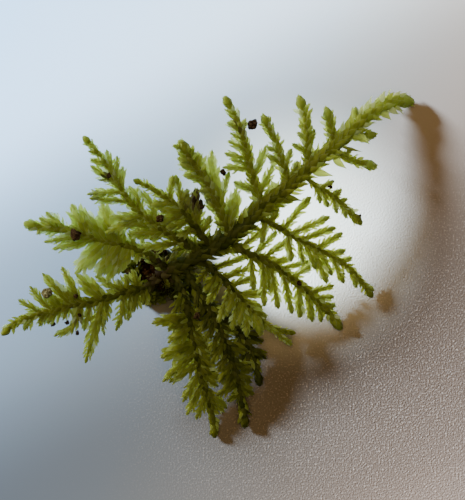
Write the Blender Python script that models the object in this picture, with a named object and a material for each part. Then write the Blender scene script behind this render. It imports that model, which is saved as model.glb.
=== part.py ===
"""A sprig of feather moss, lying on a table.

One main shoot carries fronds on both sides, and each frond carries narrow leafy twigs, all nearly in one
sheet. The sheet slopes: its lower-right rim, from the tip of the main shoot round to the lower fronds, lies
on the table, and its upper-left rim stands clear of it, because the foot of the shoot is held up by a tuft
of dead brown growth with soil in it. Every solid is the outline of a leafy stem, leaves included.

The drawing is in millimetres, with +X to the right, +Y away and +Z up, and is scaled to metres at the end.
The origin is on the table, under the middle of the sprig. The points are read by eye, to half a tenth.
"""

import math

import bmesh
import bpy
from mathutils import Matrix, Vector, noise

MM = 0.001                        # one millimetre in metres
GAP = 0.06                        # clear space between two pieces that meet

TABLE = 0.0                       # height of the table
SLOPE = 0.364                     # rise of the sheet, a slope of 20 degrees
UPHILL = Vector((-0.88, 0.48))    # the level direction in which it rises
TWIG_SHARE = 0.85                 # how closely a twig keeps to that slope

STEM_SIDES = 8                    # flats around the main shoot
FROND_SIDES = 6
TWIG_SIDES = 4
STEM_STEPS = 13                   # rings along the main shoot
STEM_END = 0.72                   # last ring of a stem, as a share of its thickness there
FROND_PITCH = 2.4                 # length of frond to one ring
TIP_LENGTH = 0.9                  # length of a blunt point, in radii of the ring that it stands on

TWIG_SHAPE = (0.42, 0.5, 0.3)     # radii at foot, middle and end, as shares of the thickness
TWIG_END = 0.3
SHORT_TWIG = 2.3                  # a straight twig up to this length has no middle ring
TWIG_ARCH = 0.05                  # how far a twig arches upwards, as a share of its length
TWIG_CLEAR = 0.05                 # lowest skin of a twig over the table

TUFT_MIDDLE = Vector((-4.4, -1.2, 1.7))
TUFT_HALF = Vector((1.8, 1.9, 2.7))
TUFT_ROUGH = 1.5                  # height of its lumps
TUFT_LUMPS = 0.45                 # how many lumps to a millimetre
TUFT_PATTERN = Vector((3.1, 0.4, 7.2))
TUFT_TWIG_ROOT = 0.2              # where its twigs begin, from its middle to their tips
TUFT_TWIG_ARCH = 0.5              # how far they arch
TUFT_TWIG_SHAPE = (0.5, 0.5, 0.32)
TABLE_WIDE = 12.0                 # the block of table that cuts the tuft flat
TABLE_DEEP = 4.0

GRAIN_WIDTH = 0.85                # a soil grain's width and height, as shares of its length
GRAIN_HEIGHT = 0.8
GRAIN_ROUGH = 0.4
GRAIN_LUMPS = 2.0

CENTRE = Vector((0.13, -0.1, 0))  # middle of the drawing's box on the table
SHARP_ANGLE = 60                  # degrees between faces that stay a sharp edge

# The main shoot, from its broken foot to its growing tip: its axis, how thick it is with its leaves at
# both ends, and the shoots on it that are too short to be fronds.
# A twig is (foot x, foot y, tip x, tip y, thickness) and, if it curves forward, how far, as a share of its
# length. Its foot is moved onto the axis.

MAIN_SHOOT = dict(
    thick=(1.6, 1.35), lift=(0, 0),
    axis=[(-4.9, -1, 4.3), (-2.2, 0.3, 5.1), (0.5, 1.7, 5.5), (3.2, 3.6, 5.6), (5.6, 5.9, 5.5),
          (8, 7.7, 5.3), (10.1, 9.7, 4.9), (11.9, 11.2, 4.4), (13.7, 12.8, 3.7), (14.7, 13.7, 3.3),
          (15.6, 14.6, 2.8), (16.5, 15.3, 2.4), (17.4, 15.9, 2), (18.5, 16.3, 1.5), (19.6, 16.45, 1),
          (20.7, 16.35, 0.72)],
    twigs=[(15.4, 13.8, 14.85, 15.8, 0.5), (6.2, 6.3, 8.6, 6.4, 0.7), (5, 5.4, 7.2, 5.6, 0.8),
           (0.4, 1.6, 3.3, 1.4, 0.7)])

# The fronds, in the same way. Lift is how far the twigs' tips stand above the sheet, or hang below it, on
# the left and on the right of the frond: it takes the twigs of neighbouring fronds past each other.

FRONDS = {
    "upper_frond_1": dict(
        thick=(1, 1), lift=(0, 0),
        axis=[(12.9, 11.8, 4.1), (12.45, 13.5, 4.3), (11.95, 15.7, 4.4)],
        twigs=[]),
    "upper_frond_2": dict(
        thick=(1, 1), lift=(-0.3, -0.3),
        axis=[(10.3, 9.8, 4.9), (10.05, 11.5, 5.1), (9.95, 13.1, 5.3), (9.8, 14.8, 5.45),
              (9.2, 16.85, 5.6)],
        twigs=[(9.9, 11.1, 8.55, 12.1, 0.5), (9.8, 12.5, 9.1, 13.25, 0.5), (9.8, 13.5, 9.2, 14, 0.5),
               (10.1, 11.7, 10.75, 13.55, 0.5)]),
    "upper_frond_3": dict(
        thick=(0.9, 0.9), lift=(0.35, 0.35),
        axis=[(8.2, 7.5, 5.3), (7.9, 8.8, 5.5), (7.5, 10.2, 5.9), (7.1, 11.7, 6.2), (6.5, 13.1, 6.5),
              (5.55, 14.95, 6.9)],
        twigs=[(7.6, 9.3, 8.4, 11.6, 0.5), (8, 8.3, 9.1, 10.35, 0.5), (8, 8.4, 8.8, 9.05, 0.5),
               (7.4, 10.1, 6.05, 10.9, 0.7), (7.1, 11.2, 6, 11.8, 0.5)]),
    "upper_frond_4": dict(
        thick=(1.1, 0.9), lift=(0.3, -0.35),
        axis=[(5.5, 5.4, 5.5), (4.9, 7.5, 6), (4.4, 9.3, 6.5), (3.9, 11.5, 7.1), (3.4, 13.3, 7.5),
              (2.8, 14.8, 7.9), (1.75, 16.8, 8.4)],
        twigs=[(3.1, 13.4, 2, 14.25, 0.7), (3.4, 12.4, 2.3, 13.2, 0.4), (3.6, 11.4, 2.1, 12.4, 0.6),
               (4, 10.6, 1.75, 11.15, 0.6), (4, 10.1, 2.4, 10.45, 0.4), (4.3, 9.6, 1.55, 9.75, 0.6),
               (4.8, 7.2, 2.65, 8.3, 0.6), (4.7, 8.6, 6.05, 12.05, 0.6), (5.1, 6.8, 6.8, 10.3, 0.6),
               (3.4, 13.4, 3.95, 14.25, 0.5)]),
    "upper_frond_5": dict(
        thick=(1.2, 1.2), lift=(0.35, -0.5),
        axis=[(2.4, 2.7, 5.5), (1.7, 4.3, 6.3), (1, 6.1, 7), (-0.1, 8.3, 8), (-1.6, 10.4, 9),
              (-2.7, 12.4, 9.7)],
        twigs=[(-2.1, 11.3, -3.35, 11.95, 0.5), (-1.5, 10.2, -2.9, 10.65, 0.8),
               (-0.7, 9.2, -2.7, 10.2, 0.8), (-0.4, 8.5, -2.3, 9, 0.7), (-0.9, 9.7, -0.85, 11.2, 0.9),
               (-1.7, 10.9, -1.4, 11.6, 0.8), (1.2, 5.6, 0.5, 11.5, 1.2, -0.07),
               (1.25, 5.8, 2.2, 9.3, 0.5), (2.2, 3.5, 3.05, 7.9, 1), (1.9, 3.7, 2.25, 6.4, 0.8),
               (1.5, 5, -0.1, 6.8, 0.7), (1.8, 3.9, 0.8, 4.3, 0.6), (0.4, 7.2, -0.7, 7.5, 0.8)]),
    "middle_frond": dict(
        thick=(1.2, 0.6), lift=(0.6, 0.6),
        axis=[(0.5, 1.6, 5.6), (-1.1, 3.7, 7), (-3, 5.9, 8.2), (-5.3, 7.5, 9), (-7.3, 8.5, 9.6)],
        twigs=[(-3.9, 6.4, -3.4, 8.9, 0.6), (-2, 5.1, -3.15, 8.95, 0.6), (-2.9, 5.8, -1.9, 7.5, 0.7),
               (-1.7, 3.9, -1.1, 7.6, 0.8), (-1.3, 3.4, -0.6, 6.5, 0.7), (-2.2, 4.8, -2, 7.2, 0.8),
               (-0.6, 3, 0.35, 4.9, 0.7), (-2.7, 5.3, -4.7, 5.4, 0.9), (-3.5, 6.2, -5.5, 6, 0.8),
               (-2.4, 4.9, -4.6, 4.2, 0.7), (-1.8, 4.4, -4, 3.7, 0.7), (-1.2, 3.8, -2.9, 2.9, 0.7)]),
    "left_frond_1": dict(
        thick=(1.1, 0.7), lift=(0.45, -0.2),
        axis=[(-0.7, 1.1, 5.4), (-2.7, 2.5, 6.9), (-5.2, 4, 7.9), (-7.1, 5.6, 8.6), (-8.5, 7.5, 9.6),
              (-9.7, 9.5, 10.5), (-11, 11.3, 11.3), (-12.3, 12.8, 11.9)],
        twigs=[(-10.9, 11.1, -11.8, 11.35, 0.4), (-10.2, 10, -11.6, 10.5, 0.6),
               (-8.9, 7.7, -11.6, 9.9, 0.7), (-8.5, 7.3, -11.95, 7.05, 0.6), (-7.7, 6.4, -11.7, 6.65, 0.6),
               (-9.3, 9, -10, 11.5, 0.6), (-9.1, 8.4, -8.95, 10.9, 0.5), (-8.6, 7.8, -8.4, 9.8, 0.7),
               (-6.6, 5.1, -7.8, 7.9, 0.7, 0.1), (-5, 3.9, -7, 7.7, 0.6, 0.12),
               (-6.1, 4.7, -9.7, 4.85, 0.8), (-6.3, 4.8, -10.1, 3.2, 0.7), (-4.7, 3.7, -5.5, 5.9, 0.8),
               (-3.5, 3.1, -4.4, 5, 0.8), (-2.1, 2.2, -3.1, 3.9, 0.7), (-1.3, 1.6, -2.4, 3.2, 0.7),
               (-0.9, 1.3, -1.3, 2.9, 0.6), (-5, 3.9, -9, 4.15, 0.6), (-4.2, 3.4, -7.9, 3.1, 0.9),
               (-4.2, 3.4, -5.7, 2.5, 0.6), (-2.3, 2.3, -6.8, 1.75, 0.7)]),
    "left_frond_2": dict(
        thick=(1.1, 1), lift=(0.4, 0.4),
        axis=[(-3.9, -0.4, 5), (-6.4, 1.3, 6.5), (-8.9, 2.1, 7.4), (-10.9, 2.6, 8.1), (-12.5, 3.2, 8.8),
              (-14.1, 3.5, 9.4), (-16.2, 3.7, 10.1), (-18.2, 4.15, 10.8)],
        twigs=[(-14.9, 3.6, -16.7, 4.75, 0.6), (-14, 3.5, -16.05, 5.3, 0.7), (-12, 3.1, -13.5, 6.1, 1.2),
               (-10.3, 2.5, -12.6, 5.5, 1.2), (-9.2, 2.3, -10.55, 6.4, 1.2),
               (-11.9, 2.8, -16.25, 2.3, 0.6), (-10.9, 2.4, -15.4, 1.6, 0.7),
               (-10.2, 2.4, -13.2, -0.9, 1.2), (-8.9, 1.9, -11, -1.2, 1.2), (-9.7, 2.2, -10.6, -0.9, 0.8),
               (-8.3, 1.8, -10, -1.8, 0.9), (-7.7, 1.6, -9.1, -0.9, 0.9), (-8.5, 2.1, -8.9, 4.3, 0.9),
               (-7.3, 1.7, -7.7, 3.5, 0.7), (-6.7, 1.4, -7.1, 0.3, 0.7), (-6.2, 1.2, -6.5, 2.7, 0.6),
               (-16.7, 3.8, -16.8, 3.1, 0.7)]),
    "left_frond_3": dict(
        thick=(1.1, 0.8), lift=(-0.3, -0.3),
        axis=[(-4.5, -1.2, 4.4), (-6.2, -2.2, 4.8), (-8, -2.7, 5.2), (-9.7, -3.2, 5.6),
              (-11.6, -3.65, 6.1), (-13.5, -4, 6.6), (-15.3, -4.5, 7.1), (-17.1, -5, 7.6),
              (-18.9, -5.6, 8.1), (-20.45, -6.95, 8.5)],
        twigs=[(-16.5, -4.7, -18.85, -3.45, 0.5), (-15.7, -4.4, -17.7, -2.1, 0.6),
               (-13.5, -3.9, -16.45, -0.8, 0.9), (-12.7, -3.8, -14.6, -2, 0.6),
               (-12.6, -3.6, -14.5, -0.15, 0.6), (-10.4, -3.3, -13.1, -0.9, 1.1),
               (-8.3, -2.7, -11.2, -1.1, 0.6), (-7.9, -2.7, -8.2, -1, 0.8), (-6.9, -2.4, -7.5, -0.5, 0.7),
               (-14.7, -4.2, -16.1, -3, 0.9), (-13.9, -4.1, -14.3, -5.4, 0.7),
               (-15.5, -4.6, -16.9, -5.8, 0.5), (-17.4, -5.2, -18.25, -6.5, 0.6),
               (-16.2, -4.9, -16.7, -6.1, 0.7), (-14.7, -4.4, -16, -5.8, 0.8),
               (-12.7, -3.8, -15.3, -7.1, 0.6, 0.22), (-12.8, -3.9, -13.1, -5.6, 0.9),
               (-11.5, -3.8, -12.3, -6.6, 0.6), (-10.4, -3.4, -12.15, -9.8, 0.8),
               (-10.7, -4.8, -10.25, -7.05, 0.4), (-9.9, -3.3, -10.25, -6, 0.6),
               (-8.35, -3, -9.1, -6.6, 0.6, 0.07), (-7.6, -2.9, -7.9, -5.6, 0.5),
               (-7.1, -2.5, -7.3, -4.6, 0.8), (-6.2, -2.2, -6.4, -4, 0.8), (-8.5, -2.8, -8.9, -1.5, 0.7),
               (-7.3, -2.5, -6.7, -1.5, 0.7)]),
    "right_frond_1": dict(
        thick=(0.7, 1), lift=(0, 0),
        axis=[(12.5, 11.4, 4), (13.8, 10.75, 3.6), (15.1, 10.3, 3), (16.95, 9.85, 2.2)],
        twigs=[(13.6, 10.8, 14.5, 11.7, 0.5)]),
    "right_frond_2": dict(
        thick=(0.8, 0.9), lift=(0, 0),
        axis=[(14.5, 12.9, 3.4), (15.6, 12.95, 2.9), (16.9, 13.05, 2.4)],
        twigs=[]),
    "right_frond_3": dict(
        thick=(0.6, 0.9), lift=(0.2, 0.2),
        axis=[(9.9, 8.7, 4.9), (11, 7.85, 4.5), (12.5, 6.95, 3.9), (13.95, 5.65, 3.1), (15.45, 4.1, 2.5)],
        twigs=[(11.3, 7.7, 12.7, 8.4, 0.5), (12.5, 6.8, 13.45, 7.55, 0.6), (13.2, 6.2, 14, 6.65, 0.5),
               (10.9, 7.8, 11.35, 6.2, 0.5), (11.6, 7.5, 12.1, 5.8, 0.5), (12.4, 6.8, 13, 5.2, 0.5),
               (13.4, 5.9, 13.95, 4.7, 0.5)]),
    "lower_frond_1": dict(
        thick=(0.8, 0.7), lift=(0.3, 0.3),
        axis=[(5.1, 4.8, 5.5), (7.3, 3.65, 4.7), (9.3, 2.5, 3.8), (11.3, 1.5, 2.9), (13.75, 0.1, 1.9),
              (15.25, -1.45, 1.1), (16.6, -3.2, 0.45)],
        twigs=[(7.6, 3.6, 10.35, 6.8, 0.6), (8.4, 3.2, 12.25, 4.8, 0.6), (9.3, 2.6, 12.85, 3.75, 0.6),
               (10.9, 1.6, 13.55, 3.2, 0.6), (12.1, 1, 13.85, 1.45, 0.6), (13.4, 0.1, 14.5, 0.75, 0.5),
               (5.9, 4.4, 5.45, 2.2, 0.6), (7.9, 3, 8.45, 0.4, 0.6), (9.1, 2.4, 9.6, 0.3, 0.5),
               (10.4, 1.5, 12, -1.75, 0.7), (11.1, 1.2, 12.5, -1.05, 0.5), (12.3, 0.5, 13.7, -1.8, 0.6),
               (9.8, 2.2, 10.9, -0.4, 0.6), (6.2, 4.4, 7.1, 5.4, 0.7), (14.4, -0.8, 14.95, -2.25, 0.5),
               (15.5, -2.2, 16.75, -2.55, 0.4)]),
    "lower_frond_2": dict(
        thick=(1, 0.9), lift=(-0.3, -0.3),
        axis=[(2.6, 2.1, 5.5), (4.5, 0.95, 4.7), (6.1, 0.35, 4.1), (7.6, -0.7, 3.4), (9, -1.8, 2.6),
              (10.4, -3, 1.8), (12, -4.55, 1), (13.45, -6.5, 0.5)],
        twigs=[(4.6, 0.9, 7, 3.35, 0.5), (5.5, 0.7, 8.4, 2.6, 0.6), (6.5, 0.1, 8.6, 0.8, 0.6),
               (8.4, -1.4, 10.55, 0, 0.6), (10.1, -2.8, 12.7, -2.05, 0.5), (10.6, -3.4, 12.7, -3.2, 0.5),
               (11.5, -4.3, 12.85, -4.05, 0.6), (4.4, 1, 4.7, -2.5, 0.6), (5.6, 0.5, 5.75, -4.1, 0.6),
               (6.3, 0.2, 7.15, -4.35, 0.6), (7.5, -0.7, 8.55, -4.85, 0.6), (9.2, -1.9, 9.35, -5.25, 0.7),
               (10.1, -2.7, 10.55, -5.65, 0.6), (11, -3.7, 11.45, -5.7, 0.5), (3.3, 1.7, 5.9, 3.7, 0.5),
               (7.3, -0.4, 10.4, 0.4, 0.5), (5.9, 0.4, 6.3, -2.7, 0.5)]),
    "lower_frond_3": dict(
        thick=(0.8, 0.5), lift=(-0.6, 0.5),
        axis=[(-0.3, 0.4, 5.3), (1.3, -1.15, 4.7), (2.7, -2.55, 4.1), (4, -3.95, 3.5), (5.1, -5.3, 2.8),
              (6.4, -6.25, 2.1), (8.85, -6.85, 1.2)],
        twigs=[(0.5, -0.3, 4.05, 0.85, 0.5), (1.5, -1.3, 4.4, -0.2, 0.6), (2.3, -2, 4.5, -1.25, 0.6),
               (3.1, -3, 5.6, -2.75, 0.7), (3.7, -3.5, 5.5, -4.3, 0.6), (4.9, -5.5, 8.5, -8, 0.5),
               (4.4, -4.4, 5.9, -5.2, 0.8), (4.6, -4.8, 5.4, -7, 0.8), (0.2, -0.3, -1.05, -1.8, 0.5),
               (1.4, -1.5, 0, -3.9, 0.5), (2.2, -2.3, 1.2, -5.7, 0.5), (3.1, -3.1, 2.5, -6.5, 0.5),
               (4.1, -4.1, 3.9, -7.1, 0.6), (1, -0.9, -0.2, -2.7, 0.8), (2.7, -2.7, 1.9, -5, 0.7),
               (3.6, -3.6, 3.2, -6, 0.7)]),
    "lower_frond_4": dict(
        thick=(1, 0.8), lift=(-0.4, 0.3),
        axis=[(-3.5, -0.5, 4.8), (-2.6, -2.5, 4.6), (-2.05, -4.1, 4.1), (-1.7, -6.5, 3.4), (-1.1, -9, 2.5),
              (-0.5, -11.5, 1.7), (0.1, -13.5, 1), (0.6, -15.5, 0.6), (0.75, -17.3, 0.42)],
        twigs=[(-2.1, -5.2, -5.55, -5.85, 0.9), (-1.9, -6.2, -3.95, -7.8, 0.9),
               (-1.5, -7.9, -4.65, -9.3, 1.2), (-1.2, -8.7, -4.45, -11.7, 0.7),
               (-0.8, -9.8, -3.8, -11.75, 0.8), (-0.7, -10.6, -2.45, -13.75, 0.6),
               (-0.4, -11.7, -2.05, -15.05, 0.6), (-0.1, -12.9, -1.1, -15.5, 0.6),
               (-2.4, -3.1, -3.4, -4.8, 0.8), (-1.9, -5.7, -3.9, -6.5, 0.8), (-1.9, -5.2, -0.2, -6.5, 0.8),
               (-1.6, -7, 0.4, -8.5, 0.8), (-1.2, -8.5, 0.8, -10.1, 0.8), (-0.8, -10, 1.2, -11.5, 0.8),
               (-0.1, -12.3, 2, -14.4, 0.6), (0.2, -13.4, 1.8, -14.8, 0.4), (-2.1, -4.1, -0.6, -5.3, 0.6),
               (-1.8, -6.3, 0.1, -7.8, 0.7), (-1.4, -7.7, 0.6, -9.3, 0.7), (-1, -9.2, 0.8, -10.8, 0.7),
               (-0.6, -10.9, 1.1, -12.2, 0.6)]),
    "lower_frond_5": dict(
        thick=(1, 0.9), lift=(0, 0.5),
        axis=[(-2.4, 0.2, 5.1), (-1.5, -1.6, 4.8), (-0.2, -3.6, 4.2), (0.9, -5.7, 3.5), (1.9, -8, 2.7),
              (2.8, -10.7, 1.9), (3.4, -13.1, 1.15), (3.85, -16.3, 0.5)],
        twigs=[(3.2, -11.8, 0.9, -13.1, 0.6), (3.4, -12.8, 2, -13.7, 0.5), (0.3, -4.7, -0.7, -6.8, 0.6),
               (1.3, -6.6, 0.2, -8.7, 0.6), (2.2, -8.7, 1.1, -10.6, 0.6), (0.1, -4.1, 2.1, -5.1, 0.6),
               (1, -5.9, 3.1, -6.9, 0.6), (1.8, -7.6, 4, -8.7, 0.7), (2.5, -9.5, 4.5, -10.7, 0.7),
               (3.2, -11.7, 4.6, -13, 0.7), (2.8, -10.6, 4.4, -11.8, 0.8), (-1, -2.4, -0.95, -4.2, 0.7),
               (-0.4, -3.3, -0.9, -5.4, 0.7), (0.8, -5.5, -0.2, -7.6, 0.7), (1.8, -7.6, 0.5, -9.7, 0.8),
               (2.5, -9.7, 1.2, -11.8, 0.8), (2.8, -10.8, 1.7, -12.4, 0.6)]),
    "lower_frond_6": dict(
        thick=(1.1, 0.8), lift=(-0.3, -0.3),
        axis=[(-2.7, -1.4, 2.3), (-0.4, -3.5, 2.3), (1.9, -5.3, 1.9), (3.6, -7.2, 1.6), (4.7, -9.3, 1),
              (5.3, -12.1, 0.5)],
        twigs=[(2.3, -5.7, 5.1, -6.1, 0.8), (3.4, -7, 5.6, -7.7, 0.8), (4.3, -8.5, 5.9, -9.3, 0.8),
               (3.3, -6.9, 2.9, -9.3, 0.8), (4.2, -8.4, 3.8, -10.8, 0.8), (1.4, -4.9, 2, -7.2, 0.8),
               (3.9, -7.8, 3.3, -10, 0.8)]),
}

FROM_TUFT = ("left_frond_2", "left_frond_3", "lower_frond_4", "lower_frond_5", "lower_frond_6")

# Old twigs that stand out of the tuft: tip x, tip y, tip z, thickness
TUFT_TWIGS = [
    (-8.0, -0.4, 3.4, 0.9), (-7.4, -1.7, 2.0, 0.8), (-6.9, 1.0, 1.1, 0.9), (-6.8, -3.2, 0.4, 1.0),
    (-5.8, -3.7, 1.2, 0.9), (-4.7, -3.5, 0.4, 0.8), (-2.2, -3.6, 0.5, 0.8), (-1.8, -1.0, 0.6, 0.8),
    (-2.7, 1.3, 0.5, 0.8), (-5.0, 1.7, 0.4, 0.8),
]

# Soil grains caught in the leaves: centre x, y, z, size, turn in degrees
GRAINS = [
    (4.53, 14, 7.3, 1.25, 20), (1.6, 9.27, 7.9, 0.7, 70), (-13.1, 3, 10.1, 1.3, -50),
    (-4.7, 4.65, 9.2, 0.95, 15), (-9.75, 9, 11.1, 0.6, 90), (-0.43, 5.77, 8.1, 0.55, 40),
    (12.35, 7.85, 4.6, 0.42, 0), (-1, -5.05, 5.4, 0.78, 80), (-12.7, -5, 6.9, 0.5, 10),
    (-13, -6.8, 6.45, 0.58, 80), (15.35, 4.9, 2.8, 0.28, 0), (13.7, -0.9, 1.9, 0.35, 30),
    (9.3, -1.8, 3.3, 0.4, 0), (-7.8, -0.75, 3.85, 0.55, 0), (-13.1, -3.05, 7.2, 0.45, 60),
    (-15.4, -5.9, 6.5, 0.5, 30), (-14, -5.8, 6.7, 0.5, 0), (-15.95, -2.75, 8.15, 1.2, 160)
]


def smooth_line(points, steps):
    """Places along a smooth curve through the points, steps + 1 of them, ends included."""
    knots = [Vector(p) for p in points]
    knots = [2 * knots[0] - knots[1]] + knots + [2 * knots[-1] - knots[-2]]
    spans = len(knots) - 3
    line = []
    for step in range(steps + 1):
        place = step / steps * spans
        span = min(int(place), spans - 1)
        t = place - span
        a, b, c, d = knots[span:span + 4]
        line.append(0.5 * (2 * b + (c - a) * t + (2 * a - 5 * b + 4 * c - d) * t ** 2
                           + (3 * b - a - 3 * c + d) * t ** 3))
    return line


def add_tube(bm, line, radii, sides):
    """A closed tube along a line, flat at its foot and with a blunt point past its last ring."""
    rings = []
    side = Vector((0, 0, 1))
    for i, centre in enumerate(line):
        along = (line[min(i + 1, len(line) - 1)] - line[max(i - 1, 0)]).normalized()
        side = (side - along * side.dot(along)).normalized()
        over = along.cross(side)
        turns = [2 * math.pi * k / sides for k in range(sides)]
        rings.append([bm.verts.new(centre + radii[i] * (math.cos(a) * side + math.sin(a) * over))
                      for a in turns])
    for lower, upper in zip(rings, rings[1:]):
        for k in range(sides):
            n = (k + 1) % sides
            bm.faces.new((lower[k], lower[n], upper[n], upper[k]))
    bm.faces.new(rings[0][::-1])
    point = bm.verts.new(line[-1] + (line[-1] - line[-2]).normalized() * radii[-1] * TIP_LENGTH)
    for k in range(sides):
        bm.faces.new((rings[-1][k], rings[-1][(k + 1) % sides], point))


def to_object(name, bm):
    mesh = bpy.data.meshes.new(name)
    bm.to_mesh(mesh)
    bm.free()
    obj = bpy.data.objects.new(name, mesh)
    bpy.context.collection.objects.link(obj)
    return obj


def combine(obj, tool, operation):
    """Join the tool to the object, or cut it away, and remove the tool."""
    boolean = obj.modifiers.new(operation, "BOOLEAN")
    boolean.object = tool
    boolean.operation = operation
    boolean.use_self = operation == "UNION"
    whole = obj.evaluated_get(bpy.context.evaluated_depsgraph_get())
    shaped = bpy.data.meshes.new_from_object(whole)
    obj.modifiers.clear()
    obj.data = shaped
    bpy.data.objects.remove(tool)


def on_axis(axis, x, y):
    """The place on an axis that is nearest to a point, seen from above, and the axis's way there."""
    spot = Vector((x, y))
    places = []
    for a, b in zip(axis, axis[1:]):
        run = (b - a).xy
        share = min(max((spot - a.xy).dot(run) / run.length_squared, 0), 1)
        places.append((a.lerp(b, share), run))
    return min(places, key=lambda place: (place[0].xy - spot).length)


def twig_line(axis, twig, lift):
    """Places along a twig, which keeps to the slope of the sheet, arches, and may curve forward."""
    foot_x, foot_y, tip_x, tip_y, thick, *bend = twig
    foot, along = on_axis(axis, foot_x, foot_y)
    run = Vector((tip_x, tip_y)) - foot.xy
    on_left = along.cross(run) > 0
    rise = SLOPE * TWIG_SHARE * run.dot(UPHILL) + (lift[0] if on_left else lift[1])
    tip = Vector((tip_x, tip_y, max(foot.z + rise, TABLE + TWIG_CLEAR + thick / 2)))
    end = tip.lerp(foot, TWIG_END * TIP_LENGTH * thick / run.length)
    forward = (along - run * along.dot(run) / run.length_squared).normalized()
    middle = foot.lerp(end, 0.5) + Vector((0, 0, TWIG_ARCH * run.length))
    middle -= (forward * sum(bend) * run.length).to_3d()
    return [foot, end] if run.length < SHORT_TWIG and not bend else [foot, middle, end]


def leafy_stem(name, spec, steps, sides, grow=0.0):
    """A stem and its twigs as one closed solid; grow makes it that much fatter all round."""
    axis = smooth_line(spec["axis"], steps)
    foot, tip = spec["thick"]
    radii = [0.5 * (foot + (tip - foot) * i / steps) + grow for i in range(steps + 1)]
    radii[-1] *= STEM_END
    axis[0] += (axis[0] - axis[1]).normalized() * grow
    axis[-1] = axis[-1].lerp(axis[-2], TIP_LENGTH * radii[-1] / (axis[-1] - axis[-2]).length)
    bm = bmesh.new()
    add_tube(bm, axis, radii, sides)
    stem = to_object(name, bm)
    if spec["twigs"]:
        bm = bmesh.new()
        for twig in spec["twigs"]:
            thick = twig[4] + 2 * grow
            line = twig_line(axis, twig, spec["lift"])
            widths = [thick * share for share in TWIG_SHAPE[-len(line):]]
            add_tube(bm, line, widths, TWIG_SIDES)
        combine(stem, to_object("twigs", bm), "UNION")
    return stem


def frond_steps(spec):
    length = sum((Vector(b) - Vector(a)).length for a, b in zip(spec["axis"], spec["axis"][1:]))
    return max(3, round(length / FROND_PITCH))


def tuft(name, grow=0.0):
    """A lump of soil and matted leaves, cut flat by the table, with old twigs standing out of it."""
    bm = bmesh.new()
    bmesh.ops.create_icosphere(bm, subdivisions=3, radius=1.0)
    for vert in bm.verts:
        way = vert.co.normalized()
        place = way * TUFT_HALF
        lump = TUFT_ROUGH * noise.noise(place * TUFT_LUMPS + TUFT_PATTERN)
        vert.co = TUFT_MIDDLE + place + way * (lump + grow)
    lump = to_object(name, bm)
    bm = bmesh.new()
    for x, y, z, thick in TUFT_TWIGS:
        tip = Vector((x, y, z))
        inside = TUFT_MIDDLE.lerp(tip, TUFT_TWIG_ROOT)
        middle = inside.lerp(tip, 0.5) + Vector((0, 0, TUFT_TWIG_ARCH))
        widths = [(thick + 2 * grow) * share for share in TUFT_TWIG_SHAPE]
        add_tube(bm, [inside, middle, tip], widths, TWIG_SIDES)
    combine(lump, to_object("old_twigs", bm), "UNION")
    bm = bmesh.new()
    bmesh.ops.create_cube(bm, size=1.0, matrix=Matrix.Translation((*TUFT_MIDDLE.xy, TABLE - TABLE_DEEP / 2))
                          @ Matrix.Diagonal((TABLE_WIDE, TABLE_WIDE, TABLE_DEEP, 1)))
    combine(lump, to_object("table", bm), "DIFFERENCE")
    return lump


def grain(name, x, y, z, size, turn):
    """One soil grain: a lumpy stone, a little longer than it is wide."""
    bm = bmesh.new()
    bmesh.ops.create_icosphere(bm, subdivisions=1, radius=size / 2)
    shape = Matrix.Rotation(turn, 4, "Z") @ Matrix.Diagonal((1.0, GRAIN_WIDTH, GRAIN_HEIGHT, 1))
    for vert in bm.verts:
        lump = 1 + GRAIN_ROUGH * noise.noise(vert.co * GRAIN_LUMPS + Vector((x, y, z)))
        vert.co = Vector((x, y, z)) + shape @ (vert.co * lump)
    return to_object(name, bm)


def finish(obj, material):
    """Centre the piece on the origin's axis, scale it to metres, and give it its material and shading."""
    obj.data.transform(Matrix.Diagonal((MM, MM, MM, 1)) @ Matrix.Translation(-CENTRE))
    obj.data.materials.clear()
    obj.data.materials.append(material)
    obj.data.shade_smooth()
    obj.data.set_sharp_from_angle(angle=math.radians(SHARP_ANGLE))


def material(name, colour, roughness):
    mat = bpy.data.materials.new(name)
    mat.use_nodes = True
    shader = mat.node_tree.nodes["Principled BSDF"]
    shader.inputs["Base Color"].default_value = (*colour, 1)
    shader.inputs["Roughness"].default_value = roughness
    shader.inputs["Metallic"].default_value = 0.0
    return mat


def build():
    for obj in list(bpy.data.objects):
        bpy.data.objects.remove(obj)
    old_green = material("stem_green", (0.075, 0.095, 0.010), 0.6)
    leaf_green = material("leaf_green", (0.21, 0.26, 0.025), 0.55)
    dead_brown = material("dead_brown", (0.055, 0.028, 0.012), 0.8)
    soil = material("soil", (0.018, 0.011, 0.008), 0.9)

    shoot = leafy_stem("main_shoot", MAIN_SHOOT, STEM_STEPS, STEM_SIDES)
    clump = tuft("brown_tuft")
    combine(clump, leafy_stem("clearance", MAIN_SHOOT, STEM_STEPS, STEM_SIDES, GAP), "DIFFERENCE")
    for name, spec in FRONDS.items():
        frond = leafy_stem(name, spec, frond_steps(spec), FROND_SIDES)
        combine(frond, leafy_stem("clearance", MAIN_SHOOT, STEM_STEPS, STEM_SIDES, GAP), "DIFFERENCE")
        if name in FROM_TUFT:
            combine(frond, tuft("clearance", GAP), "DIFFERENCE")
        finish(frond, leaf_green)
    finish(shoot, old_green)
    finish(clump, dead_brown)
    for number, (x, y, z, size, turn) in enumerate(GRAINS, start=1):
        finish(grain(f"soil_grain_{number:02d}", x, y, z, size, math.radians(turn)), soil)


build()
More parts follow.
